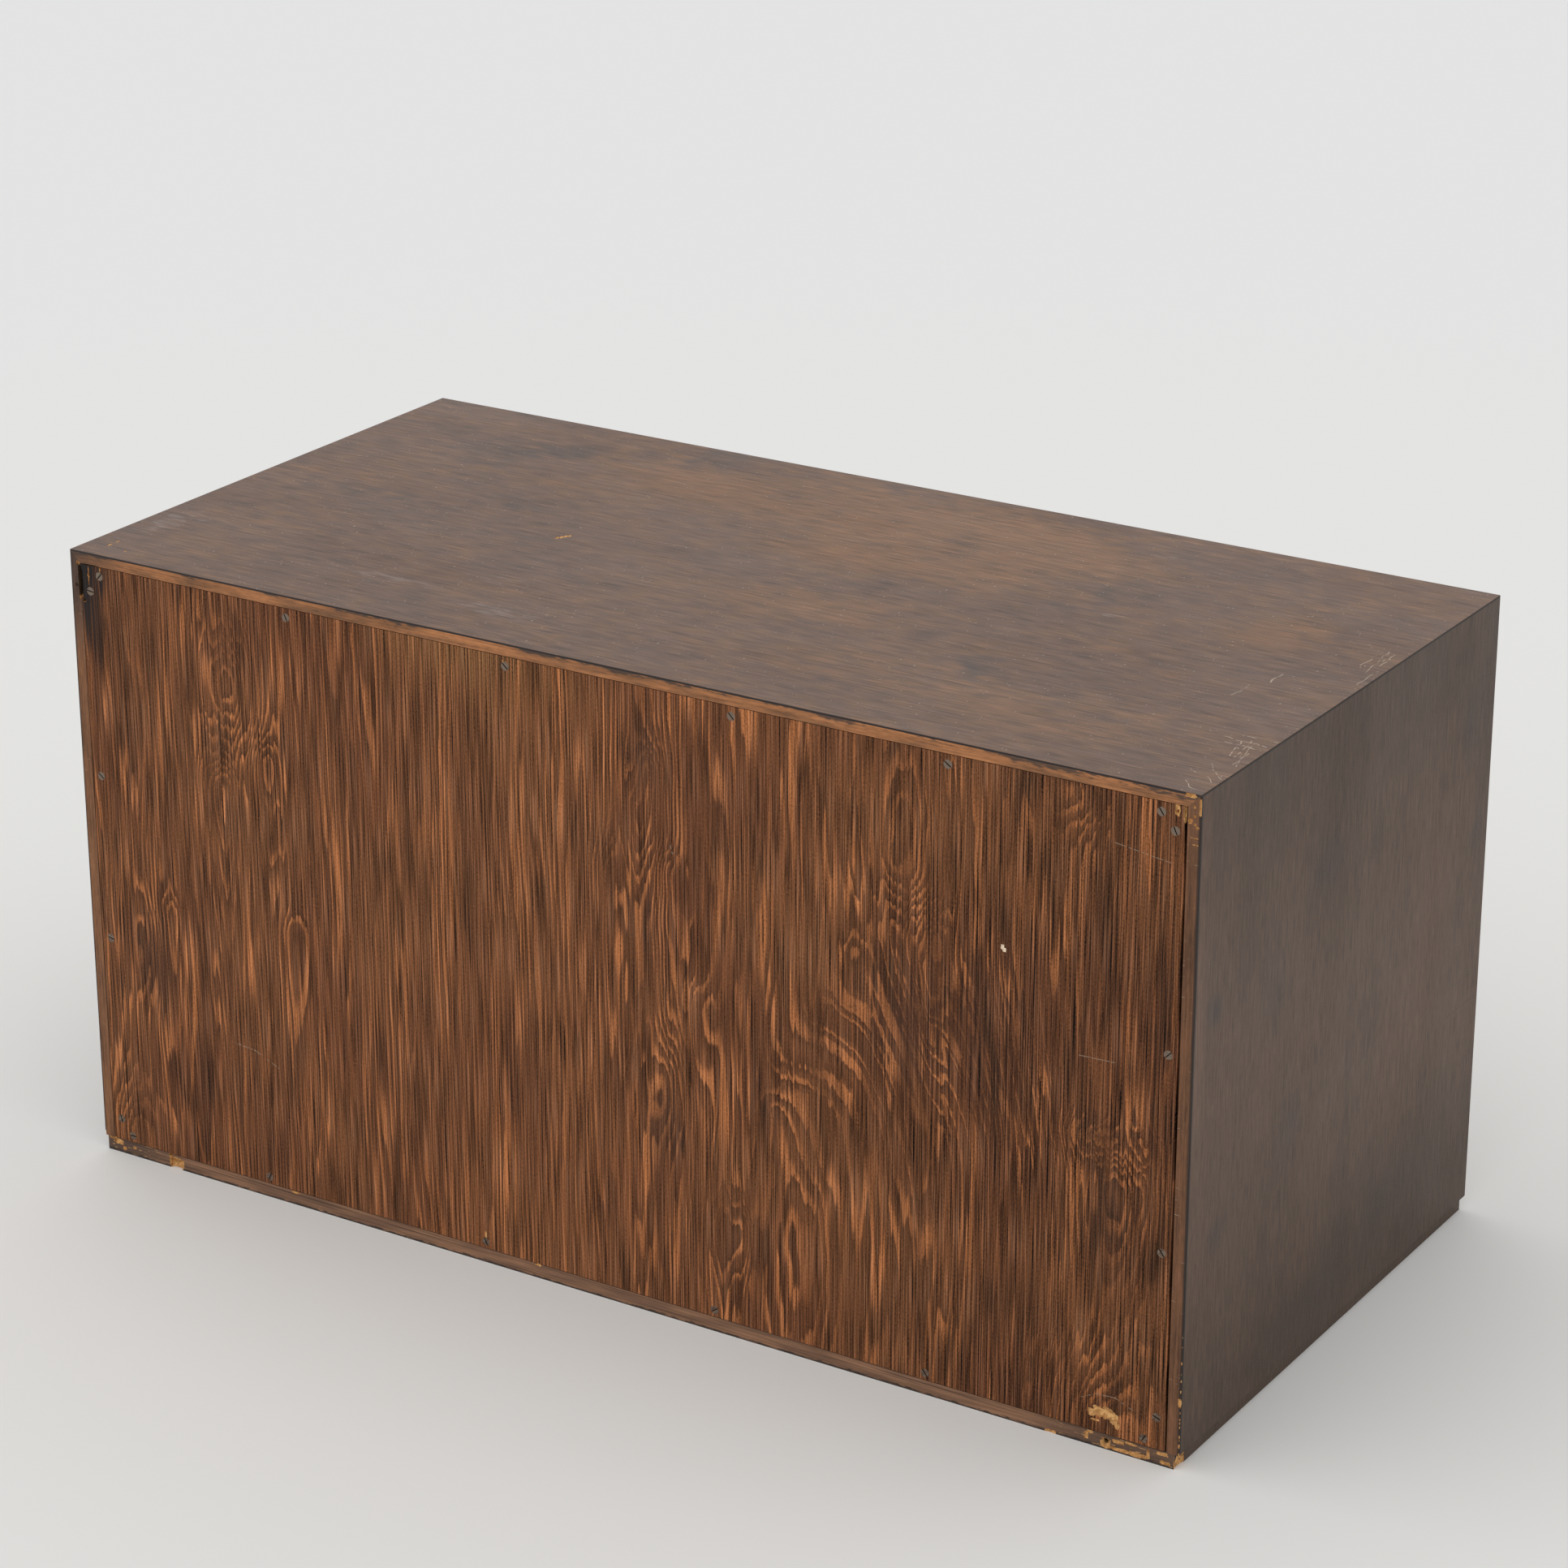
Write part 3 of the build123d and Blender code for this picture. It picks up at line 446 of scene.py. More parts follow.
# Clear woods: light and dark colour, and the width of a year (mm)
BIRCH = ((0.62, 0.45, 0.28), (0.50, 0.34, 0.19), 9.0)
PLYWOOD = ((0.62, 0.46, 0.30), (0.53, 0.37, 0.22), 26.0)
BEECH = ((0.54, 0.34, 0.20), (0.43, 0.25, 0.14), 5.0)

# Places of the two colours and of the result on Blender's colour mix node
MIX_FIRST, MIX_SECOND, MIX_RESULT = 6, 7, 2
# The middle of Blender's noise
NOISE_MIDDLE = 0.5


class Value:
    """A number inside a material's node tree, used like a plain number."""

    def __init__(self, graph, socket):
        self.graph = graph
        self.socket = socket

    def __add__(self, other):
        return self.graph.math("ADD", self, other)

    def __radd__(self, other):
        return self.graph.math("ADD", other, self)

    def __sub__(self, other):
        return self.graph.math("SUBTRACT", self, other)

    def __rsub__(self, other):
        return self.graph.math("SUBTRACT", other, self)

    def __mul__(self, other):
        return self.graph.math("MULTIPLY", self, other)

    def __truediv__(self, other):
        return self.graph.math("DIVIDE", self, other)


class Graph:
    """A material written as formulas on the object's own place, in millimetres."""

    def __init__(self, name):
        self.material = bpy.data.materials.new(name)
        self.material.use_nodes = True
        self.tree = self.material.node_tree
        self.shader = self.tree.nodes["Principled BSDF"]
        coordinates = self.add("ShaderNodeTexCoord")
        place = self.add("ShaderNodeSeparateXYZ")
        self.tree.links.new(coordinates.outputs["Object"], place.inputs[0])
        self.x, self.y, self.z = (Value(self, out) * MM for out in place.outputs)
        facing = self.add("ShaderNodeSeparateXYZ")
        self.tree.links.new(coordinates.outputs["Normal"], facing.inputs[0])
        self.facing = [Value(self, out) for out in facing.outputs]

    def add(self, kind, **settings):
        """A new node with the given settings."""
        made = self.tree.nodes.new(kind)
        for key, value in settings.items():
            setattr(made, key, value)
        return made

    def feed(self, socket, value):
        """Links a value to a socket, or writes a constant there."""
        if isinstance(value, Value):
            self.tree.links.new(value.socket, socket)
        elif isinstance(value, tuple):
            socket.default_value = (*value, 1.0)
        else:
            socket.default_value = value

    def math(self, operation, *values):
        """The result of one sum, product or other operation on the values."""
        made = self.add("ShaderNodeMath", operation=operation)
        for socket, value in zip(made.inputs, values):
            self.feed(socket, value)
        return Value(self, made.outputs[0])

    def noise(self, x, y, z, detail=0.0):
        """Smooth noise about zero, one feature for each unit of x, y and z.

        A plain number for one of them picks a slice, so that no two noises of a finish are alike.
        """
        point = self.add("ShaderNodeCombineXYZ")
        for socket, value in zip(point.inputs, (x, y, z)):
            self.feed(socket, value)
        made = self.add("ShaderNodeTexNoise")
        made.inputs["Scale"].default_value = 1.0
        made.inputs["Detail"].default_value = detail
        self.tree.links.new(point.outputs[0], made.inputs["Vector"])
        return Value(self, made.outputs[0]) - NOISE_MIDDLE

    def rise(self, value, low, high):
        """0 where the value is at low, 1 where it is at high, smooth between."""
        made = self.add("ShaderNodeMapRange", interpolation_type="SMOOTHSTEP")
        self.feed(made.inputs["Value"], value)
        self.feed(made.inputs["From Min"], low)
        self.feed(made.inputs["From Max"], high)
        return Value(self, made.outputs["Result"])

    def hills(self, u, v, places):
        """The sum of several hills, each weighed by its strength."""
        total = 0.0
        for across, up, half_width, half_height, strength in places:
            total = total + self.hill(u, v, across, up, half_width, half_height) * strength
        return total

    def scratches(self, u, v, lines):
        """1 along thin lines of the face, each between two points."""
        total = 0.0
        for (start_u, start_v), (end_u, end_v), half_width in lines:
            run_u = end_u - start_u
            run_v = end_v - start_v
            square = run_u * run_u + run_v * run_v
            from_u = u - start_u
            from_v = v - start_v
            share = from_u * (run_u / square) + from_v * (run_v / square)
            share.socket.node.use_clamp = True
            off_u = from_u - share * run_u
            off_v = from_v - share * run_v
            distance = self.math("SQRT", off_u * off_u + off_v * off_v)
            total = total + self.rise(distance, half_width, half_width * SCRATCH_CORE)
        return total

    def wave(self, turns):
        """A sine that repeats at each whole turn."""
        return self.math("SINE", turns * math.tau)

    def scaled(self, value, centre, size):
        """How many sizes the value lies beyond the centre."""
        return self.math("MULTIPLY_ADD", value, 1.0 / size, -centre / size)

    def hill(self, u, v, across, height, half_width, upward, downward=None):
        """1 at a point of the face, falling to 0 over an oval round it."""
        first = self.scaled(u, across, half_width)
        second = self.scaled(v, height, upward)
        if downward is not None:
            second = self.math("MAXIMUM", second, self.scaled(v, height, -downward))
        square = self.math("MULTIPLY_ADD", first, first, second * second)
        return self.math("POWER", math.exp(-1.0), square)

    def ridge(self, u, across, half_width):
        """1 along a line of the face, falling to 0 on both sides."""
        first = self.scaled(u, across, half_width)
        return self.math("POWER", math.exp(-1.0), first * first)

    def mix(self, share, first, second):
        """The first colour, with a share of the second laid over it."""
        made = self.add("ShaderNodeMix", data_type="RGBA")
        self.feed(made.inputs[0], share)
        self.feed(made.inputs[MIX_FIRST], first)
        self.feed(made.inputs[MIX_SECOND], second)
        return Value(self, made.outputs[MIX_RESULT])

    def shade(self, colour, amount):
        """A colour made darker or lighter by a number."""
        made = self.add("ShaderNodeMix", data_type="RGBA", blend_type="MULTIPLY")
        made.inputs[0].default_value = 1.0
        self.feed(made.inputs[MIX_FIRST], colour)
        self.feed(made.inputs[MIX_SECOND], amount)
        return Value(self, made.outputs[MIX_RESULT])

    def finish(self, colour, roughness, height=None, depth=0.1, **constant):
        """Connects the shader; height is relief in units of depth, in millimetres."""
        self.feed(self.shader.inputs["Base Color"], colour)
        self.feed(self.shader.inputs["Roughness"], roughness)
        if height is not None:
            bump = self.add("ShaderNodeBump")
            bump.inputs["Distance"].default_value = depth / MM
            self.feed(bump.inputs["Height"], height)
            self.tree.links.new(bump.outputs["Normal"], self.shader.inputs["Normal"])
        for name, value in constant.items():
            self.shader.inputs[name.replace("_", " ")].default_value = value
        return self.material


def swung(g, x, z):
    """Where a line came from across the sheet, before it swung, and its share of the swing."""
    beyond = g.rise(x, SWING_NEAR, SWING_FAR)
    middle = beyond * (SWING_MIDDLE[1] - SWING_MIDDLE[0]) + SWING_MIDDLE[0]
    reach = beyond * (SWING_REACH[1] - SWING_REACH[0]) + SWING_REACH[0]
    drop = g.rise(z, middle + reach, middle - reach)
    share = g.rise(x, *SWING_FROM) * g.rise(x, *SWING_TO)
    return x + share * drop * SWING_BY, share * drop * (1.0 - drop) * 4.0


def back_figure(g, x, z, strand, bundle):
    """Rings of the sheet as a running number, the share of the swing and the share of a calm area."""
    calm = g.rise(g.hills(x, z, CALM_AREAS), 0.10, 0.75)
    drifted = x + g.noise(x / 60, 9.0, z / 200) * 10
    flow = swung(g, drifted, z)[1]
    height = z + (strand * 7 + bundle * (16 - calm * 10)) * (1.0 - flow * 0.8)
    bent = x + g.noise(x / 26, 27.0, z / 40) * 10
    across = swung(g, drifted, height)[0]
    rings = 0.0
    for eye_x, eye_z, half_w, upward, downward, count in EYES:
        near = g.hill(bent, height, eye_x, eye_z, half_w, upward, downward)
        across = across + (eye_x - bent) * (near * EYE_PULL)
        rings = rings + near * count
    low, high, more = STRAIGHT
    straight = g.rise(across, low, high)
    steady = g.ridge(across, (low + high) / 2, (high - low) / 2) * 0.45 + flow * 0.6
    wander = g.noise(across / 44, 3.0, height / 300, detail=1.0) * 7.0
    uneven = g.noise(across / 9, 4.0, height / 340) * 2.2
    rings = rings + across / RING_SPACING + straight * more + wander * (1.0 - steady) + uneven
    for start, end, fewer in WIDE_PARTS:
        rings = rings - g.rise(across, start, end) * fewer
    return rings, flow, calm


def back_plywood():
    """Rotary-cut softwood, stained dark: rings run up the sheet and the stain follows the fibres."""
    g = Graph("stained_back_plywood")
    x, z = g.x, g.z
    strand = g.noise(x / 1.8, 0.0, z / 160)
    bundle = g.noise(x / 6, 5.0, z / 120)
    height = z + strand * 84 + bundle * 70
    rings, flow, calm = back_figure(g, x, z, strand, bundle)
    long = g.ridge(x, *LONG_STREAKS)
    along = (height - TOP / 2) * (STREAKS_SHORT - long * (STREAKS_SHORT - STREAKS_LONG))
    part = g.math("FRACT", rings + g.noise(x / 2.4, 1.0, z / 40) * 0.34)
    wide = part + g.noise(x / 13, 6.0, along * 0.82) * 0.7
    late = g.rise(wide, flow * 0.08 + 0.48, 0.76 - flow * 0.06) * g.rise(part, 0.98, 0.92)
    early = g.rise(part, 0.34, 0.02)
    right = g.rise(x * -1.0, *RIGHT_PART)
    left = g.rise(x, *LEFT_PART)
    shown = g.noise(x / 26, 7.0, along, detail=1.0) * (1.0 - long * 0.35)
    shown = shown + flow * 0.07 + calm * 0.05 - right * 0.03
    strength = g.rise(shown, -0.07, 0.16)
    wisp = g.rise(g.noise(x / 2.1, 21.0, along), 0.08, 0.20)
    amber = late * (strength * 0.80 + 0.20) + wisp * (1.0 - late) * (strength * 0.34 + 0.12)
    smudge = g.rise(g.noise(x / 12, 11.0, along * 1.6, detail=2.0), 0.03, 0.16)
    tone = g.noise(x / 150, 13.0, z / 200, detail=1.0)
    base = g.mix(g.rise(tone, -0.2, 0.2), BACK_DEEP_BROWN, BACK_RED_BROWN)
    base = g.mix(g.hill(x, height, *OLIVE) * 0.6, base, BACK_OLIVE)
    colour = g.mix(amber, base, BACK_AMBER)
    early = early * (strength * 0.4 + 0.3) * (1.0 - flow * 0.2)
    dark = g.math("MAXIMUM", smudge * (1.0 - amber * 0.5), early)
    colour = g.mix(dark * 0.66, colour, BACK_DARK_FIBRE)
    blot = g.rise(g.noise(x / 22, 35.0, height / 70, detail=2.0), -0.02, 0.16)
    colour = g.mix(blot * (right * 0.34 + left * 0.24 + 0.14), colour, BACK_BLOT)
    groove = g.wave((x + g.noise(x / 25, 15.0, z / 160) * 3) / GROOVE_SPACING)
    kept = g.rise(g.noise(x / 7, 31.0, z / 140), -0.12, 0.12) * 0.65 + 0.35
    line = g.rise(groove + g.noise(x / 5, 17.0, z / 45) * 1.6, 0.45, 1.0) * kept
    fine = g.noise(x / 1.0, 19.0, z / 60)
    hair = g.rise(fine, 0.03, 0.22)
    # Painted highlight: fine fibres are lightened as glints, and a neutral pale is laid on them
    painted_glint = g.rise(fine, -0.03, -0.22)
    mottle = g.noise(x / 1.1, 23.0, z / 1.9, detail=1.0)
    lined = line * (amber * 0.20 + 0.52) + hair * 0.55 - painted_glint * 0.55
    colour = g.shade(colour, 1.13 - lined + mottle * 1.3 - right * 0.21)
    colour = g.mix(painted_glint * 0.10, colour, BACK_PAINTED_GLINT)
    wet = g.hills(x + bundle * 30, height, STAINS)
    colour = g.mix(g.rise(wet, 0.05, 1.0), colour, BACK_WET_BLACK)
    worn = g.rise(g.noise(x / 3, 25.0, z / 3), -0.14, 0.06)
    colour = g.mix(g.scratches(x, z, BACK_SCRATCHES) * worn * 0.55, colour, BACK_SCRATCH_PALE)
    relief = amber * 0.12 - line - hair * 0.5
    return g.finish(colour, 0.56 + smudge * 0.12 - amber * 0.1, relief, depth=0.12, Specular_IOR_Level=0.10)


def grain_axes(g, grain):
    """The place along the grain and the two across it."""
    place = {"x": g.x, "y": g.y, "z": g.z}
    along = place.pop(grain)
    return along, *place.values()


def veneer_skin(g, a, b, c):
    """What every stained veneer shares: stripes, figure, pores, clouds and a sandy skin of specks."""
    stripe = g.noise(a / 700, b / 30, c / 30, detail=2.0)
    figure = g.noise(a / 90, b / 4, c / 4, detail=2.0)
    pore = g.rise(g.noise(a / 16, b / 0.8, c / 0.8), 0.10, 0.32)
    cloud = g.noise(a / 150, b / 80, c / 80, detail=3.0)
    sand = g.noise(a / 2.1, b / 1.7, c / 1.7, detail=2.0)
    return stripe, figure, pore, cloud, sand


def top_veneer():
    """Stained top: warm where the light has bleached it, greyer at its ends, scuffed and specked."""
    g = Graph("top_veneer")
    a, b, c = grain_axes(g, "x")
    stripe, figure, pore, cloud, sand = veneer_skin(g, a, b, c)
    bloom = g.noise(a / 120, 2.0, b / 56, detail=3.0)
    mottle = g.noise(a / 24, 4.0, b / 13, detail=3.0)
    drift_a = a + bloom * 130
    drift_b = b + bloom * 60 + mottle * 40
    warm = g.hills(drift_a, drift_b, TOP_WARM) + stripe * 0.3 + bloom * 1.5 + mottle * 1.7
    dark = g.hills(drift_a, drift_b, TOP_DARK) - bloom * 0.9 - mottle * 1.2
    colour = g.mix(g.rise(warm, -0.40, 1.05), TOP_GREY_BROWN, TOP_WARM_BROWN)
    colour = g.mix(g.rise(dark, 0.05, 1.1), colour, TOP_CLOUD_BROWN)
    scuff = g.hills(a + mottle * 60, b + mottle * 34, TOP_SCUFFS)
    streak = g.noise(a / 16 + b / 22, 6.0, b / 3.4, detail=2.0)
    brushed = g.rise(streak + scuff * 0.20, 0.02, 0.26) * g.rise(scuff, 0.10, 0.7)
    colour = g.mix(brushed * 0.45, colour, TOP_SCUFF_GREY)
    thread = g.noise(a / 64, 14.0, b / 3.4, detail=1.0)
    tooth = g.noise(a / 26, 16.0, b / 2.0)
    colour = g.shade(colour, 1.0 + figure * 0.24 + stripe * 0.14 - pore * 0.16 + thread * 0.8 + tooth * 0.9)
    colour = g.mix(g.rise(sand, 0.05, 0.32) * 0.30, colour, TOP_SAND_PALE)
    colour = g.mix(g.rise(sand, -0.05, -0.32) * 0.30, colour, TOP_SAND_DARK)
    speck = g.rise(g.noise(a / 1.9, 8.0, b / 2.8), 0.265, 0.32)
    colour = g.mix(speck * 0.55, colour, TOP_SPECK_PALE)
    edge = g.rise(a * -1.0, *TOP_RUBBED)
    rub = g.rise(g.noise(a / 26, b / 0.8 + a / 11, c / 0.8), 0.20, 0.34) * edge
    wobble = g.noise(a / 12, 18.0, b / 14) * 6
    lines = g.scratches(a + wobble, b + wobble, TOP_SCRATCHES)
    lines = lines * g.rise(g.noise(a / 4, 20.0, b / 7), -0.14, 0.06)
    colour = g.mix(rub * 0.30 + lines * 0.75, colour, TOP_SCRATCH_PALE)
    rough = 0.46 + cloud * 0.2 + sand * 0.2
    return g.finish(colour, rough, figure * 0.4 + sand * 0.3 - pore, depth=0.06, Specular_IOR_Level=0.32)


def side_veneer():
    """Stained sides, greyer than the top: faint upright stripes, soft dark clouds, black arrises."""
    g = Graph("side_veneer")
    a, b, c = grain_axes(g, "z")
    stripe, figure, pore, cloud, sand = veneer_skin(g, a, b, c)
    bloom = g.noise(a / 130, 2.0, c / 90, detail=3.0)
    light = g.rise(stripe * 0.5 + bloom + figure * 0.2, -0.24, 0.26)
    colour = g.mix(light, SIDE_DEEP_BROWN, SIDE_BROWN)
    dark = g.hills(c + bloom * 60, a + bloom * 90, SIDE_DARK) - bloom * 0.8
    colour = g.mix(g.rise(dark, 0.05, 1.1), colour, SIDE_CLOUD_BROWN)
    # Painted light: the upper rear part of each side is lightened
    lit_edge = g.rise(c, *SIDE_LIT_DEPTH) * g.rise(a, *SIDE_LIT_HEIGHT)
    colour = g.mix(lit_edge * 0.5, colour, SIDE_LIT_BROWN)
    thread = g.noise(a / 9, 14.0, c / 2.8, detail=1.0)
    tooth = g.noise(a / 24, 16.0, c / 1.9)
    colour = g.shade(colour, 1.0 + figure * 0.22 + stripe * 0.10 - pore * 0.18 + thread * 0.45 + tooth * 0.7)
    tall = g.rise(a, *SIDE_FOOT) - g.rise(a, *SIDE_HEAD) * 0.95
    colour = g.shade(colour, 0.74 + tall * 0.32)
    lines = g.scratches(c, a, SIDE_SCRATCHES)
    colour = g.mix(lines * 0.6, colour, SIDE_SCRATCH_DARK)
    rim = g.math("MAXIMUM", g.rise(a, *SIDE_TOP_RIM), g.rise(c, *SIDE_REAR_RIM))
    colour = g.mix(rim * g.rise(figure, -0.30, -0.10) * 0.95, colour, SIDE_BLACK)
    rough = 0.46 + cloud * 0.2 + sand * 0.15
    return g.finish(colour, rough, figure * 0.4 + sand * 0.3 - pore, depth=0.06, Specular_IOR_Level=0.22)


def front_veneer(name, grain):
    """Stained veneer of the door, drawer fronts and inner panels."""
    g = Graph(name)
    a, b, c = grain_axes(g, grain)
    stripe, figure, pore, cloud, sand = veneer_skin(g, a, b, c)
    warm = g.rise(cloud + stripe * 0.8, -0.2, 0.24)
    colour = g.mix(warm, FRONT_GREY_BROWN, FRONT_WARM_BROWN)
    colour = g.shade(colour, 1.0 + figure * 0.5 + stripe * 0.35 - pore * 0.3 + sand * 0.3)
    rough = 0.44 + cloud * 0.22 + sand * 0.12
    return g.finish(colour, rough, figure * 0.4 + sand * 0.4 - pore, depth=0.06, Specular_IOR_Level=0.34)


def edge_grain(g, grain):
    """Fibres and patches of a panel's edge, for the edge finishes."""
    a, b, c = grain_axes(g, grain)
    fibre = g.noise(a / 60, b / 1.3, c / 1.3, detail=2.0)
    patch = g.noise(a / 46, b / 9, c / 9, detail=2.0)
    fleck = g.noise(a / 7, b / 1.6, c / 1.6, detail=2.0)
    return fibre, patch, fleck


def top_edge_wood():
    """Rear edge of the top: bare orange wood below, stain spilt over it from above, a black arris."""
    g = Graph("top_edge_wood")
    fibre, patch, fleck = edge_grain(g, "x")
    colour = g.mix(g.rise(patch, -0.16, 0.16), TOP_EDGE_BROWN, TOP_EDGE_ORANGE)
    colour = g.shade(colour, 1.0 + fibre * 1.3 + fleck * 0.8)
    wet = g.rise(g.x + patch * 60, *TOP_EDGE_WET)
    colour = g.mix(wet * 0.55, colour, TOP_EDGE_WET_BROWN)
    spread = g.rise(g.x * -1.0, *TOP_EDGE_SPILL) * 2.4 + 0.9
    depth = TOP - g.z + fleck * 9 + patch * 16
    ink = g.rise(depth - spread, 1.6, -0.6)
    colour = g.mix(ink * 0.8, colour, TOP_EDGE_INK)
    rim = g.rise(g.z, *TOP_EDGE_RIM)
    colour = g.mix(rim, colour, TOP_EDGE_BLACK)
    return g.finish(colour, 0.58 + patch * 0.2, fibre + fleck, depth=0.14, Specular_IOR_Level=0.25)


def side_edge_wood():
    """Rear edges of the sides: dull brown, rubbed across, wet at one top corner, a black arris."""
    g = Graph("side_edge_wood")
    fibre, patch, fleck = edge_grain(g, "z")
    bright = g.rise(g.x, *SIDE_EDGE_BRIGHT)
    colour = g.mix(bright, SIDE_EDGE_DULL, SIDE_EDGE_WARM)
    wet = g.rise(g.z + patch * 60, *SIDE_EDGE_WET) * g.rise(g.x, 0.0, 10.0)
    colour = g.mix(wet * 0.8, colour, SIDE_EDGE_WET_BROWN)
    colour = g.shade(colour, 1.0 + fibre * 1.5 + patch * 1.2 + fleck * 0.7)
    mark = g.noise(g.x / 9, 3.0, g.z / 1.1)
    rubbed = g.rise(mark, 0.20, 0.30) * g.rise(g.noise(g.x / 20, 5.0, g.z / 30), -0.02, 0.12)
    colour = g.mix(rubbed * 0.55, colour, SIDE_EDGE_RUBBED)
    rim = g.rise(g.math("ABSOLUTE", g.x), *SIDE_EDGE_RIM)
    colour = g.mix(rim * 0.8, colour, EDGE_BLACK)
    return g.finish(colour, 0.58 + patch * 0.2, fibre + fleck, depth=0.14, Specular_IOR_Level=0.25)


def base_edge_wood():
    """Rear edge of the bottom: grey-brown with long dark grain, black below and flaked at its ends."""
    g = Graph("base_edge_wood")
    fibre, patch, fleck = edge_grain(g, "x")
    colour = g.mix(g.rise(patch, -0.2, 0.2), BASE_EDGE_BROWN, BASE_EDGE_PALE)
    streak = g.rise(g.noise(g.x / 120, 1.0, g.z / 1.1, detail=1.0), 0.02, 0.22)
    colour = g.mix(streak * 0.75, colour, BASE_EDGE_STREAK)
    colour = g.shade(colour, 1.0 + fibre * 1.2)
    ends = g.math("MAXIMUM", g.rise(g.x * -1.0, *BASE_LEFT_END), g.rise(g.x, *BASE_RIGHT_END))
    flake = g.rise(g.noise(g.x / 11, 3.0, g.z / 2.6, detail=2.0), 0.10, 0.16) * ends
    colour = g.mix(ends * 0.6, colour, BASE_EDGE_END)
    colour = g.mix(flake * 0.85, colour, BASE_EDGE_FLAKE)
    rim = g.rise(g.z + fleck * 5, *BASE_EDGE_RIM)
    colour = g.mix(rim * 0.9, colour, EDGE_BLACK)
    return g.finish(colour, 0.62 + patch * 0.2, fibre + flake, depth=0.2, Specular_IOR_Level=0.25)


def raw_wood():
    """Bare wood in chips and tears: pale in the fresh chip; black from stain and painted shade in the wet
    corner, from painted shade in the knot hole.
    """
    g = Graph("raw_wood")
    fibre = g.noise(g.x / 1.0, g.y / 1.0, g.z / 1.4, detail=2.0)
    tone = g.noise(g.x / 5, g.y / 5, g.z / 4, detail=1.0)
    dirt = g.rise(g.noise(g.x / 2.2, g.y / 2.2, g.z / 2.2, detail=2.0), 0.06, 0.26)
    colour = g.mix(g.rise(fibre + tone, -0.25, 0.25), RAW_ORANGE, RAW_YELLOW)
    colour = g.mix(dirt * 0.7, colour, RAW_DIRT)
    colour = g.mix(g.rise(g.hill(g.x, g.z, *FRESH_CHIP), 0.1, 0.4), colour, RAW_FRESH)
    # Stain and painted shade: the hollow of the wet broken corner turns black
    corner_stain_and_shade = g.rise(g.x, *CORNER_STAIN_AND_SHADE_ACROSS) * g.rise(g.z, *CORNER_STAIN_AND_SHADE_FOOT) * g.rise(g.z, *CORNER_STAIN_AND_SHADE_HEAD)
    # Painted shade: the knot hole turns black with depth under the rear face
    begins, black = KNOT_SHADE
    hole = g.hill(g.x, g.z, *KNOT_HOLE) * g.rise(g.y, REAR - begins, REAR - black)
    colour = g.mix(g.math("MAXIMUM", corner_stain_and_shade * 0.94, hole), colour, RAW_BLACK)
    return g.finish(colour, 0.75, fibre, depth=0.25, Specular_IOR_Level=0.2)


def pale_wood(name, grain, light, dark, ring):
    """Clear varnished wood for drawers and runners, with end grain where the fibres are cut across."""
    g = Graph(name)
    a, b, c = grain_axes(g, grain)
    cut = g.math("ABSOLUTE", g.facing["xyz".index(grain)])
    arch = g.noise(a / 330, b / 46, c / 46) * 74
    uneven = g.noise(a / 900, b / 15, c / 15) * 30
    year = g.math("FRACT", (b + c * 0.7 + arch + uneven) / ring)
    late = g.rise(year, 0.35, 0.92) * g.rise(year, 1.0, 0.95)
    shown = g.rise(g.noise(a / 210, b / 13, c / 13, detail=1.0), -0.16, 0.22)
    fleck = g.rise(g.noise(a / 7, b / 0.7, c / 0.7), 0.14, 0.34)
    stripe = g.noise(a / 260, b / 16, c / 16, detail=2.0)
    silk = g.noise(a / 48, b / 1.1, c / 1.1, detail=1.0)
    colour = g.mix(late * shown * 0.62 + g.rise(stripe, -0.2, 0.25) * 0.38, light, dark)
    colour = g.shade(colour, 1.0 + stripe * 0.3 + silk * 0.34 - fleck * 0.16)
    end = g.rise(cut, *END_GRAIN)
    pith = g.noise(a / 2, b / 0.6, c / 0.6)
    colour = g.shade(colour, 1.0 - end * (0.34 + pith * 0.5))
    return g.finish(colour, 0.46 + end * 0.2 + stripe * 0.2, late * 0.2 + silk - fleck, depth=0.05)


def knob_wood():
    """Turned knobs, dark stained and polished by hands."""
    g = Graph("turned_knob_wood")
    fibre = g.noise(g.x / 2.2, g.y / 2.2, g.z / 34, detail=1.0)
    turned = g.wave(g.y / 1.4)
    tone = g.noise(g.x / 14, g.y / 14, g.z / 24, detail=1.0)
    colour = g.mix(g.rise(fibre + tone * 0.8, -0.24, 0.26), KNOB_DARK, KNOB_BROWN)
    return g.finish(colour, 0.34 + tone * 0.3, fibre * 0.5 + turned * 0.08, depth=0.05, Coat_Weight=0.12)


def aged_brass():
    """Hinge brass, brown where it has tarnished."""
    g = Graph("aged_brass")
    tarnish = g.noise(g.x / 7, g.y / 7, g.z / 7, detail=4.0)
    rub = g.noise(g.x / 0.5, g.y / 0.5, g.z / 9)
    colour = g.mix(g.rise(tarnish, -0.12, 0.22), BRASS_BRIGHT, BRASS_TARNISH)
    return g.finish(colour, 0.36 + tarnish * 0.5 + rub * 0.15, rub, depth=0.02, Metallic=1.0)


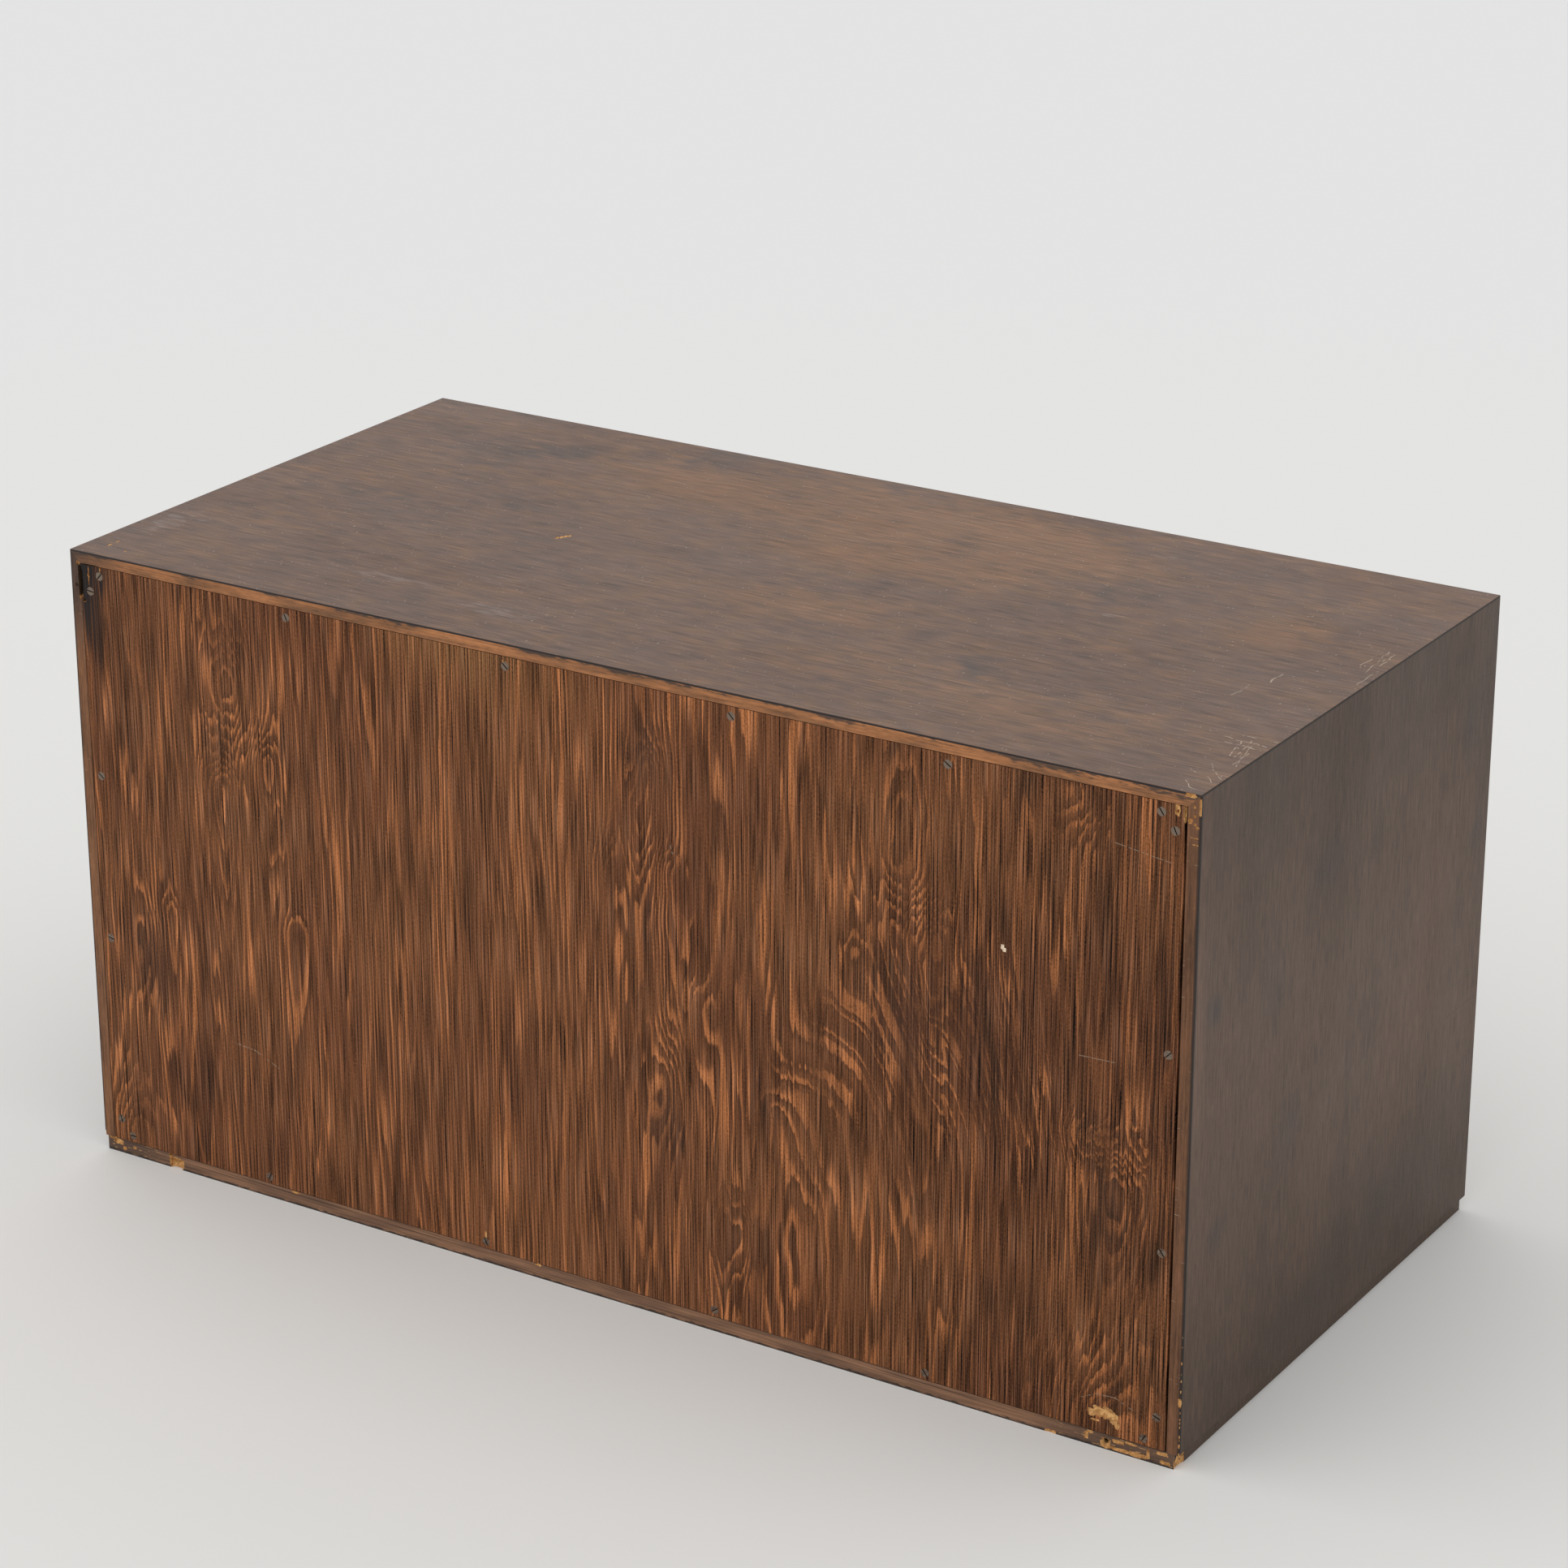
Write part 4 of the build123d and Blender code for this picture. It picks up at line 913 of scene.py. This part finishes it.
def aged_steel(name, slot_plane=None):
    """Screw steel, dulled and spotted with rust; slots below the slot plane, and faces tilted from the rear,
    are black.
    """
    g = Graph(name)
    rust = g.noise(g.x / 1.7, g.y / 1.7, g.z / 1.7, detail=3.0)
    wipe = g.noise(g.x / 0.35, g.y / 0.35, g.z / 2.5)
    stained = g.rise(rust * 0.9 - g.rise(g.z, *RUST_FADE) * 0.16, -0.13, 0.16)
    colour = g.mix(stained, STEEL_DULL, STEEL_RUST)
    if slot_plane is not None:
        begins, full = SLOT_DEPTH
        deep = g.rise(g.y, slot_plane - begins, slot_plane - full)
        blackened = g.math("MAXIMUM", deep, g.rise(g.facing[1], *SLOT_TILT))
        colour = g.mix(blackened, colour, SLOT_BLACK)
    return g.finish(colour, 0.42 + rust * 0.5, wipe + rust, depth=0.06, Metallic=0.45)


def enamel():
    """Brown enamel of the catch, with a fine orange-peel skin."""
    g = Graph("brown_enamel")
    peel = g.noise(g.x / 0.7, g.y / 0.7, g.z / 0.7, detail=2.0)
    wear = g.noise(g.x / 5, g.y / 5, g.z / 5, detail=3.0)
    colour = g.mix(g.rise(wear, -0.2, 0.25), ENAMEL_BROWN, ENAMEL_WORN)
    return g.finish(colour, 0.38 + wear * 0.25, peel, depth=0.03)


def chip_cutter(name, centre, half, number, material):
    """An irregular flat-sided lump that is taken out of a panel."""
    shape = bmesh.new()
    bmesh.ops.create_icosphere(shape, subdivisions=CHIP_DETAIL, radius=1.0)
    offset = Vector(number * step for step in CHIP_STEP)
    for vertex in shape.verts:
        swell = 1.0 + CHIP_ROUGH * noise.noise(vertex.co * CHIP_GRAIN + offset)
        swell += CHIP_ROUGH * noise.noise(vertex.co * CHIP_GRAIN * CHIP_FINER + offset)
        blunt = (math.copysign(abs(v) ** CHIP_SQUARE, v) for v in vertex.co)
        vertex.co = Vector(c + h * v * swell for c, h, v in zip(centre, half, blunt)) / MM
    mesh = bpy.data.meshes.new(name)
    shape.to_mesh(mesh)
    shape.free()
    mesh.materials.append(material)
    cutter = bpy.data.objects.new(name, mesh)
    bpy.context.scene.collection.objects.link(cutter)
    return cutter


def arris_flakes():
    """Chips for the rear arris of the left side, thicker near the floor."""
    flakes = []
    count = int((FLAKES_HIGH - FLAKES_LOW) / FLAKE_SPACING)
    for number in range(count):
        share = number / count
        drift = noise.noise(Vector((number * 1.7, 4.3, 0.5)))
        uneven = FLAKE_UNEVEN * noise.noise(Vector((number * 2.3, 0.7, 8.1)))
        size = FLAKE_SIZE * (FLAKE_LOWEST - share + uneven)
        if size > FLAKE_SIZE / 3:
            height = FLAKES_LOW + FLAKE_SPACING * (number + drift)
            flakes.append(((-HALF_WIDTH, REAR, height), (size, size, size * 2)))
    return flakes


def clean_copy(node, piece_name):
    """A closed copy of a CAD node's mesh, with the seams between its faces joined."""
    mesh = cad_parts[node].data.copy()
    mesh.name = piece_name
    shape = bmesh.new()
    shape.from_mesh(mesh)
    bmesh.ops.remove_doubles(shape, verts=shape.verts, dist=SEAM_GAP)
    bmesh.ops.dissolve_degenerate(shape, edges=shape.edges, dist=SHORT_EDGE)
    shape.to_mesh(mesh)
    shape.free()
    if "custom_normal" in mesh.attributes:
        mesh.attributes.remove(mesh.attributes["custom_normal"])
    return mesh


def paint_faces(mesh, finishes):
    """Gives each face the first finish whose test its centre and normal pass."""
    mesh.materials.clear()
    for material, _ in finishes:
        mesh.materials.append(material)
    for face in mesh.polygons:
        centre = face.center * MM
        for index, (_, test) in enumerate(finishes):
            if test(centre, face.normal):
                face.material_index = index
                break


def worn_panel(node, finishes, chips, raw):
    """Stands for a CAD panel: the same solid with its chips cut out, bare wood showing in them."""
    name = "worn_" + node
    mesh = clean_copy(node, name)
    paint_faces(mesh, finishes)
    mesh.materials.append(raw)
    piece = bpy.data.objects.new(name, mesh)
    bpy.context.scene.collection.objects.link(piece)
    cutters = []
    for number, (centre, half) in enumerate(chips):
        cutter = chip_cutter(f"{node}_chip_{number}", centre, half, number, raw)
        cut = piece.modifiers.new(cutter.name, "BOOLEAN")
        cut.operation = "DIFFERENCE"
        cut.solver = "MANIFOLD"
        cut.material_mode = "TRANSFER"
        cut.object = cutter
        cutters.append(cutter)
    evaluated = piece.evaluated_get(bpy.context.evaluated_depsgraph_get())
    final = bpy.data.meshes.new_from_object(evaluated)
    piece.modifiers.clear()
    piece.data = final
    for cutter in cutters:
        bpy.data.objects.remove(cutter)
    for face in final.polygons:
        level = max(abs(v) for v in face.normal) > FLAT_FACE
        face.use_smooth = final.materials[face.material_index] == raw or not level
    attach(piece, "case")
    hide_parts(node)


def always(centre, normal):
    return True


def faces_rear(centre, normal):
    return normal.y > FACE_LEAN and centre.y > REAR - FACE_REACH


def faces_up(centre, normal):
    return normal.z > FACE_LEAN and centre.z > TOP - FACE_REACH


def faces_out(centre, normal):
    return abs(normal.x) > FACE_LEAN and abs(centre.x) > HALF_WIDTH - END_REACH


def dress_node(node, material):
    """Gives a CAD node its finish."""
    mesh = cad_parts[node].data
    mesh.materials.clear()
    mesh.materials.append(material)


def dress_case():
    """The case's own panels, worn where the photograph shows it, and the back sheet."""
    top_face = top_veneer()
    side_face = side_veneer()
    side_edge = side_edge_wood()
    upright = front_veneer("upright_veneer", "z")
    level = front_veneer("level_veneer", "x")
    raw = raw_wood()
    top_finishes = ((top_edge_wood(), faces_rear), (top_face, faces_up), (level, always))
    base_finishes = ((base_edge_wood(), faces_rear), (side_face, faces_out), (level, always))
    side_finishes = ((side_edge, faces_rear), (side_face, faces_out), (upright, always))
    left_chips = CHIPS["left_side_panel"] + arris_flakes()
    worn_panel("top_panel", top_finishes, CHIPS["top_panel"], raw)
    worn_panel("bottom_panel", base_finishes, CHIPS["bottom_panel"], raw)
    worn_panel("left_side_panel", side_finishes, left_chips, raw)
    worn_panel("right_side_panel", side_finishes, CHIPS["right_side_panel"], raw)
    worn_panel("back_panel", ((back_plywood(), always),), CHIPS["back_panel"], raw)
    dress_node("centre_partition", upright)
    dress_node("shelf", level)
    dress_node("back_screws", aged_steel("weathered_screw_steel", REAR))


def dress_the_rest():
    """Door, drawers, hardware and the hidden joinery."""
    drawer_face = front_veneer("drawer_front_veneer", "x")
    door_face = front_veneer("door_veneer", "z")
    birch = pale_wood("birch_along", "y", *BIRCH)
    birch_wide = pale_wood("birch_across", "x", *BIRCH)
    plywood = pale_wood("birch_plywood", "x", *PLYWOOD)
    beech = pale_wood("waxed_beech", "y", *BEECH)
    brass = aged_brass()
    steel = aged_steel("screw_steel")
    knob = knob_wood()
    finishes = (
        ("_screws", steel),
        ("_screw", steel),
        ("_leaf", brass),
        ("_pin", brass),
        ("_knob", knob),
        ("_front", drawer_face),
        ("door_panel", door_face),
        ("_left_side", birch),
        ("_right_side", birch),
        ("_back", birch_wide),
        ("_bottom", plywood),
        ("_runner", beech),
        ("_tongue", birch),
        ("_dowels", beech),
        ("shelf_pegs", beech),
        ("catch_magnet", enamel()),
        ("catch_plate", steel),
    )
    done = {"top_panel", "bottom_panel", "left_side_panel", "right_side_panel", "back_panel",
            "centre_partition", "shelf", "back_screws"}
    for node in sorted(set(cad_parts) - done):
        material = next(finish for ending, finish in finishes if node.endswith(ending))
        dress_node(node, material)


def floor_material():
    """A plain pale floor, a little lighter far away."""
    g = Graph("pale_floor")
    distance = g.math("SQRT", g.x * g.x + g.y * g.y) / MM
    colour = g.mix(g.rise(distance, *FLOOR_FADE), FLOOR_NEAR, FLOOR_FAR)
    return g.finish(colour, 0.8, Specular_IOR_Level=0.2)


def add_floor():
    """A wide round floor under the cabinet."""
    shape = bmesh.new()
    bmesh.ops.create_circle(shape, cap_ends=True, segments=FLOOR_SIDES, radius=FLOOR_RADIUS)
    mesh = bpy.data.meshes.new("floor")
    shape.to_mesh(mesh)
    shape.free()
    mesh.materials.append(floor_material())
    floor = bpy.data.objects.new("floor", mesh)
    bpy.context.scene.collection.objects.link(floor)


def add_light():
    """Soft light from all round and a broad lamp above; the eye and reflections see the backdrop's colour."""
    world = bpy.data.worlds.new("studio")
    bpy.context.scene.world = world
    world.use_nodes = True
    tree = world.node_tree
    background = tree.nodes["Background"]
    path = tree.nodes.new("ShaderNodeLightPath")
    seen = tree.nodes.new("ShaderNodeMath")
    seen.operation = "MAXIMUM"
    through = tree.nodes.new("ShaderNodeMath")
    through.operation = "MAXIMUM"
    tree.links.new(path.outputs["Is Camera Ray"], seen.inputs[0])
    tree.links.new(path.outputs["Is Glossy Ray"], seen.inputs[1])
    tree.links.new(seen.outputs[0], through.inputs[0])
    tree.links.new(path.outputs["Is Transmission Ray"], through.inputs[1])
    pick = tree.nodes.new("ShaderNodeMix")
    pick.data_type = "RGBA"
    pick.inputs[MIX_FIRST].default_value = (WORLD_LIGHT, WORLD_LIGHT, WORLD_LIGHT, 1.0)
    pick.inputs[MIX_SECOND].default_value = (*BACKDROP, 1.0)
    tree.links.new(through.outputs[0], pick.inputs[0])
    tree.links.new(pick.outputs[MIX_RESULT], background.inputs["Color"])
    lamp = bpy.data.lights.new("broad_lamp", "SUN")
    lamp.energy = KEY_STRENGTH
    lamp.angle = math.radians(KEY_SPREAD)
    key = bpy.data.objects.new("broad_lamp", lamp)
    key.rotation_mode = "QUATERNION"
    key.rotation_quaternion = Vector(KEY_DIRECTION).to_track_quat("-Z", "Y")
    bpy.context.scene.collection.objects.link(key)


def add_camera():
    """The photograph's viewpoint."""
    azimuth, elevation, roll = (math.radians(v) for v in (AZIMUTH, ELEVATION, ROLL))
    level = math.cos(elevation)
    back = Vector((math.sin(azimuth) * level, -math.cos(azimuth) * level, math.sin(elevation)))
    right = Vector((0.0, 0.0, 1.0)).cross(back).normalized()
    up = back.cross(right)
    turned_right = right * math.cos(roll) + up * math.sin(roll)
    turned_up = up * math.cos(roll) - right * math.sin(roll)
    lens = bpy.data.cameras.new("photo_camera")
    lens.lens = LENS
    lens.sensor_width = SENSOR
    camera = bpy.data.objects.new("photo_camera", lens)
    axes = Matrix((turned_right, turned_up, back)).transposed().to_4x4()
    camera.matrix_world = Matrix.Translation(Vector(CAMERA_PLACE)) @ axes
    bpy.context.scene.collection.objects.link(camera)
    bpy.context.scene.camera = camera


dress_case()
dress_the_rest()
add_floor()
add_light()
add_camera()
bpy.context.scene.view_settings.view_transform = "Standard"
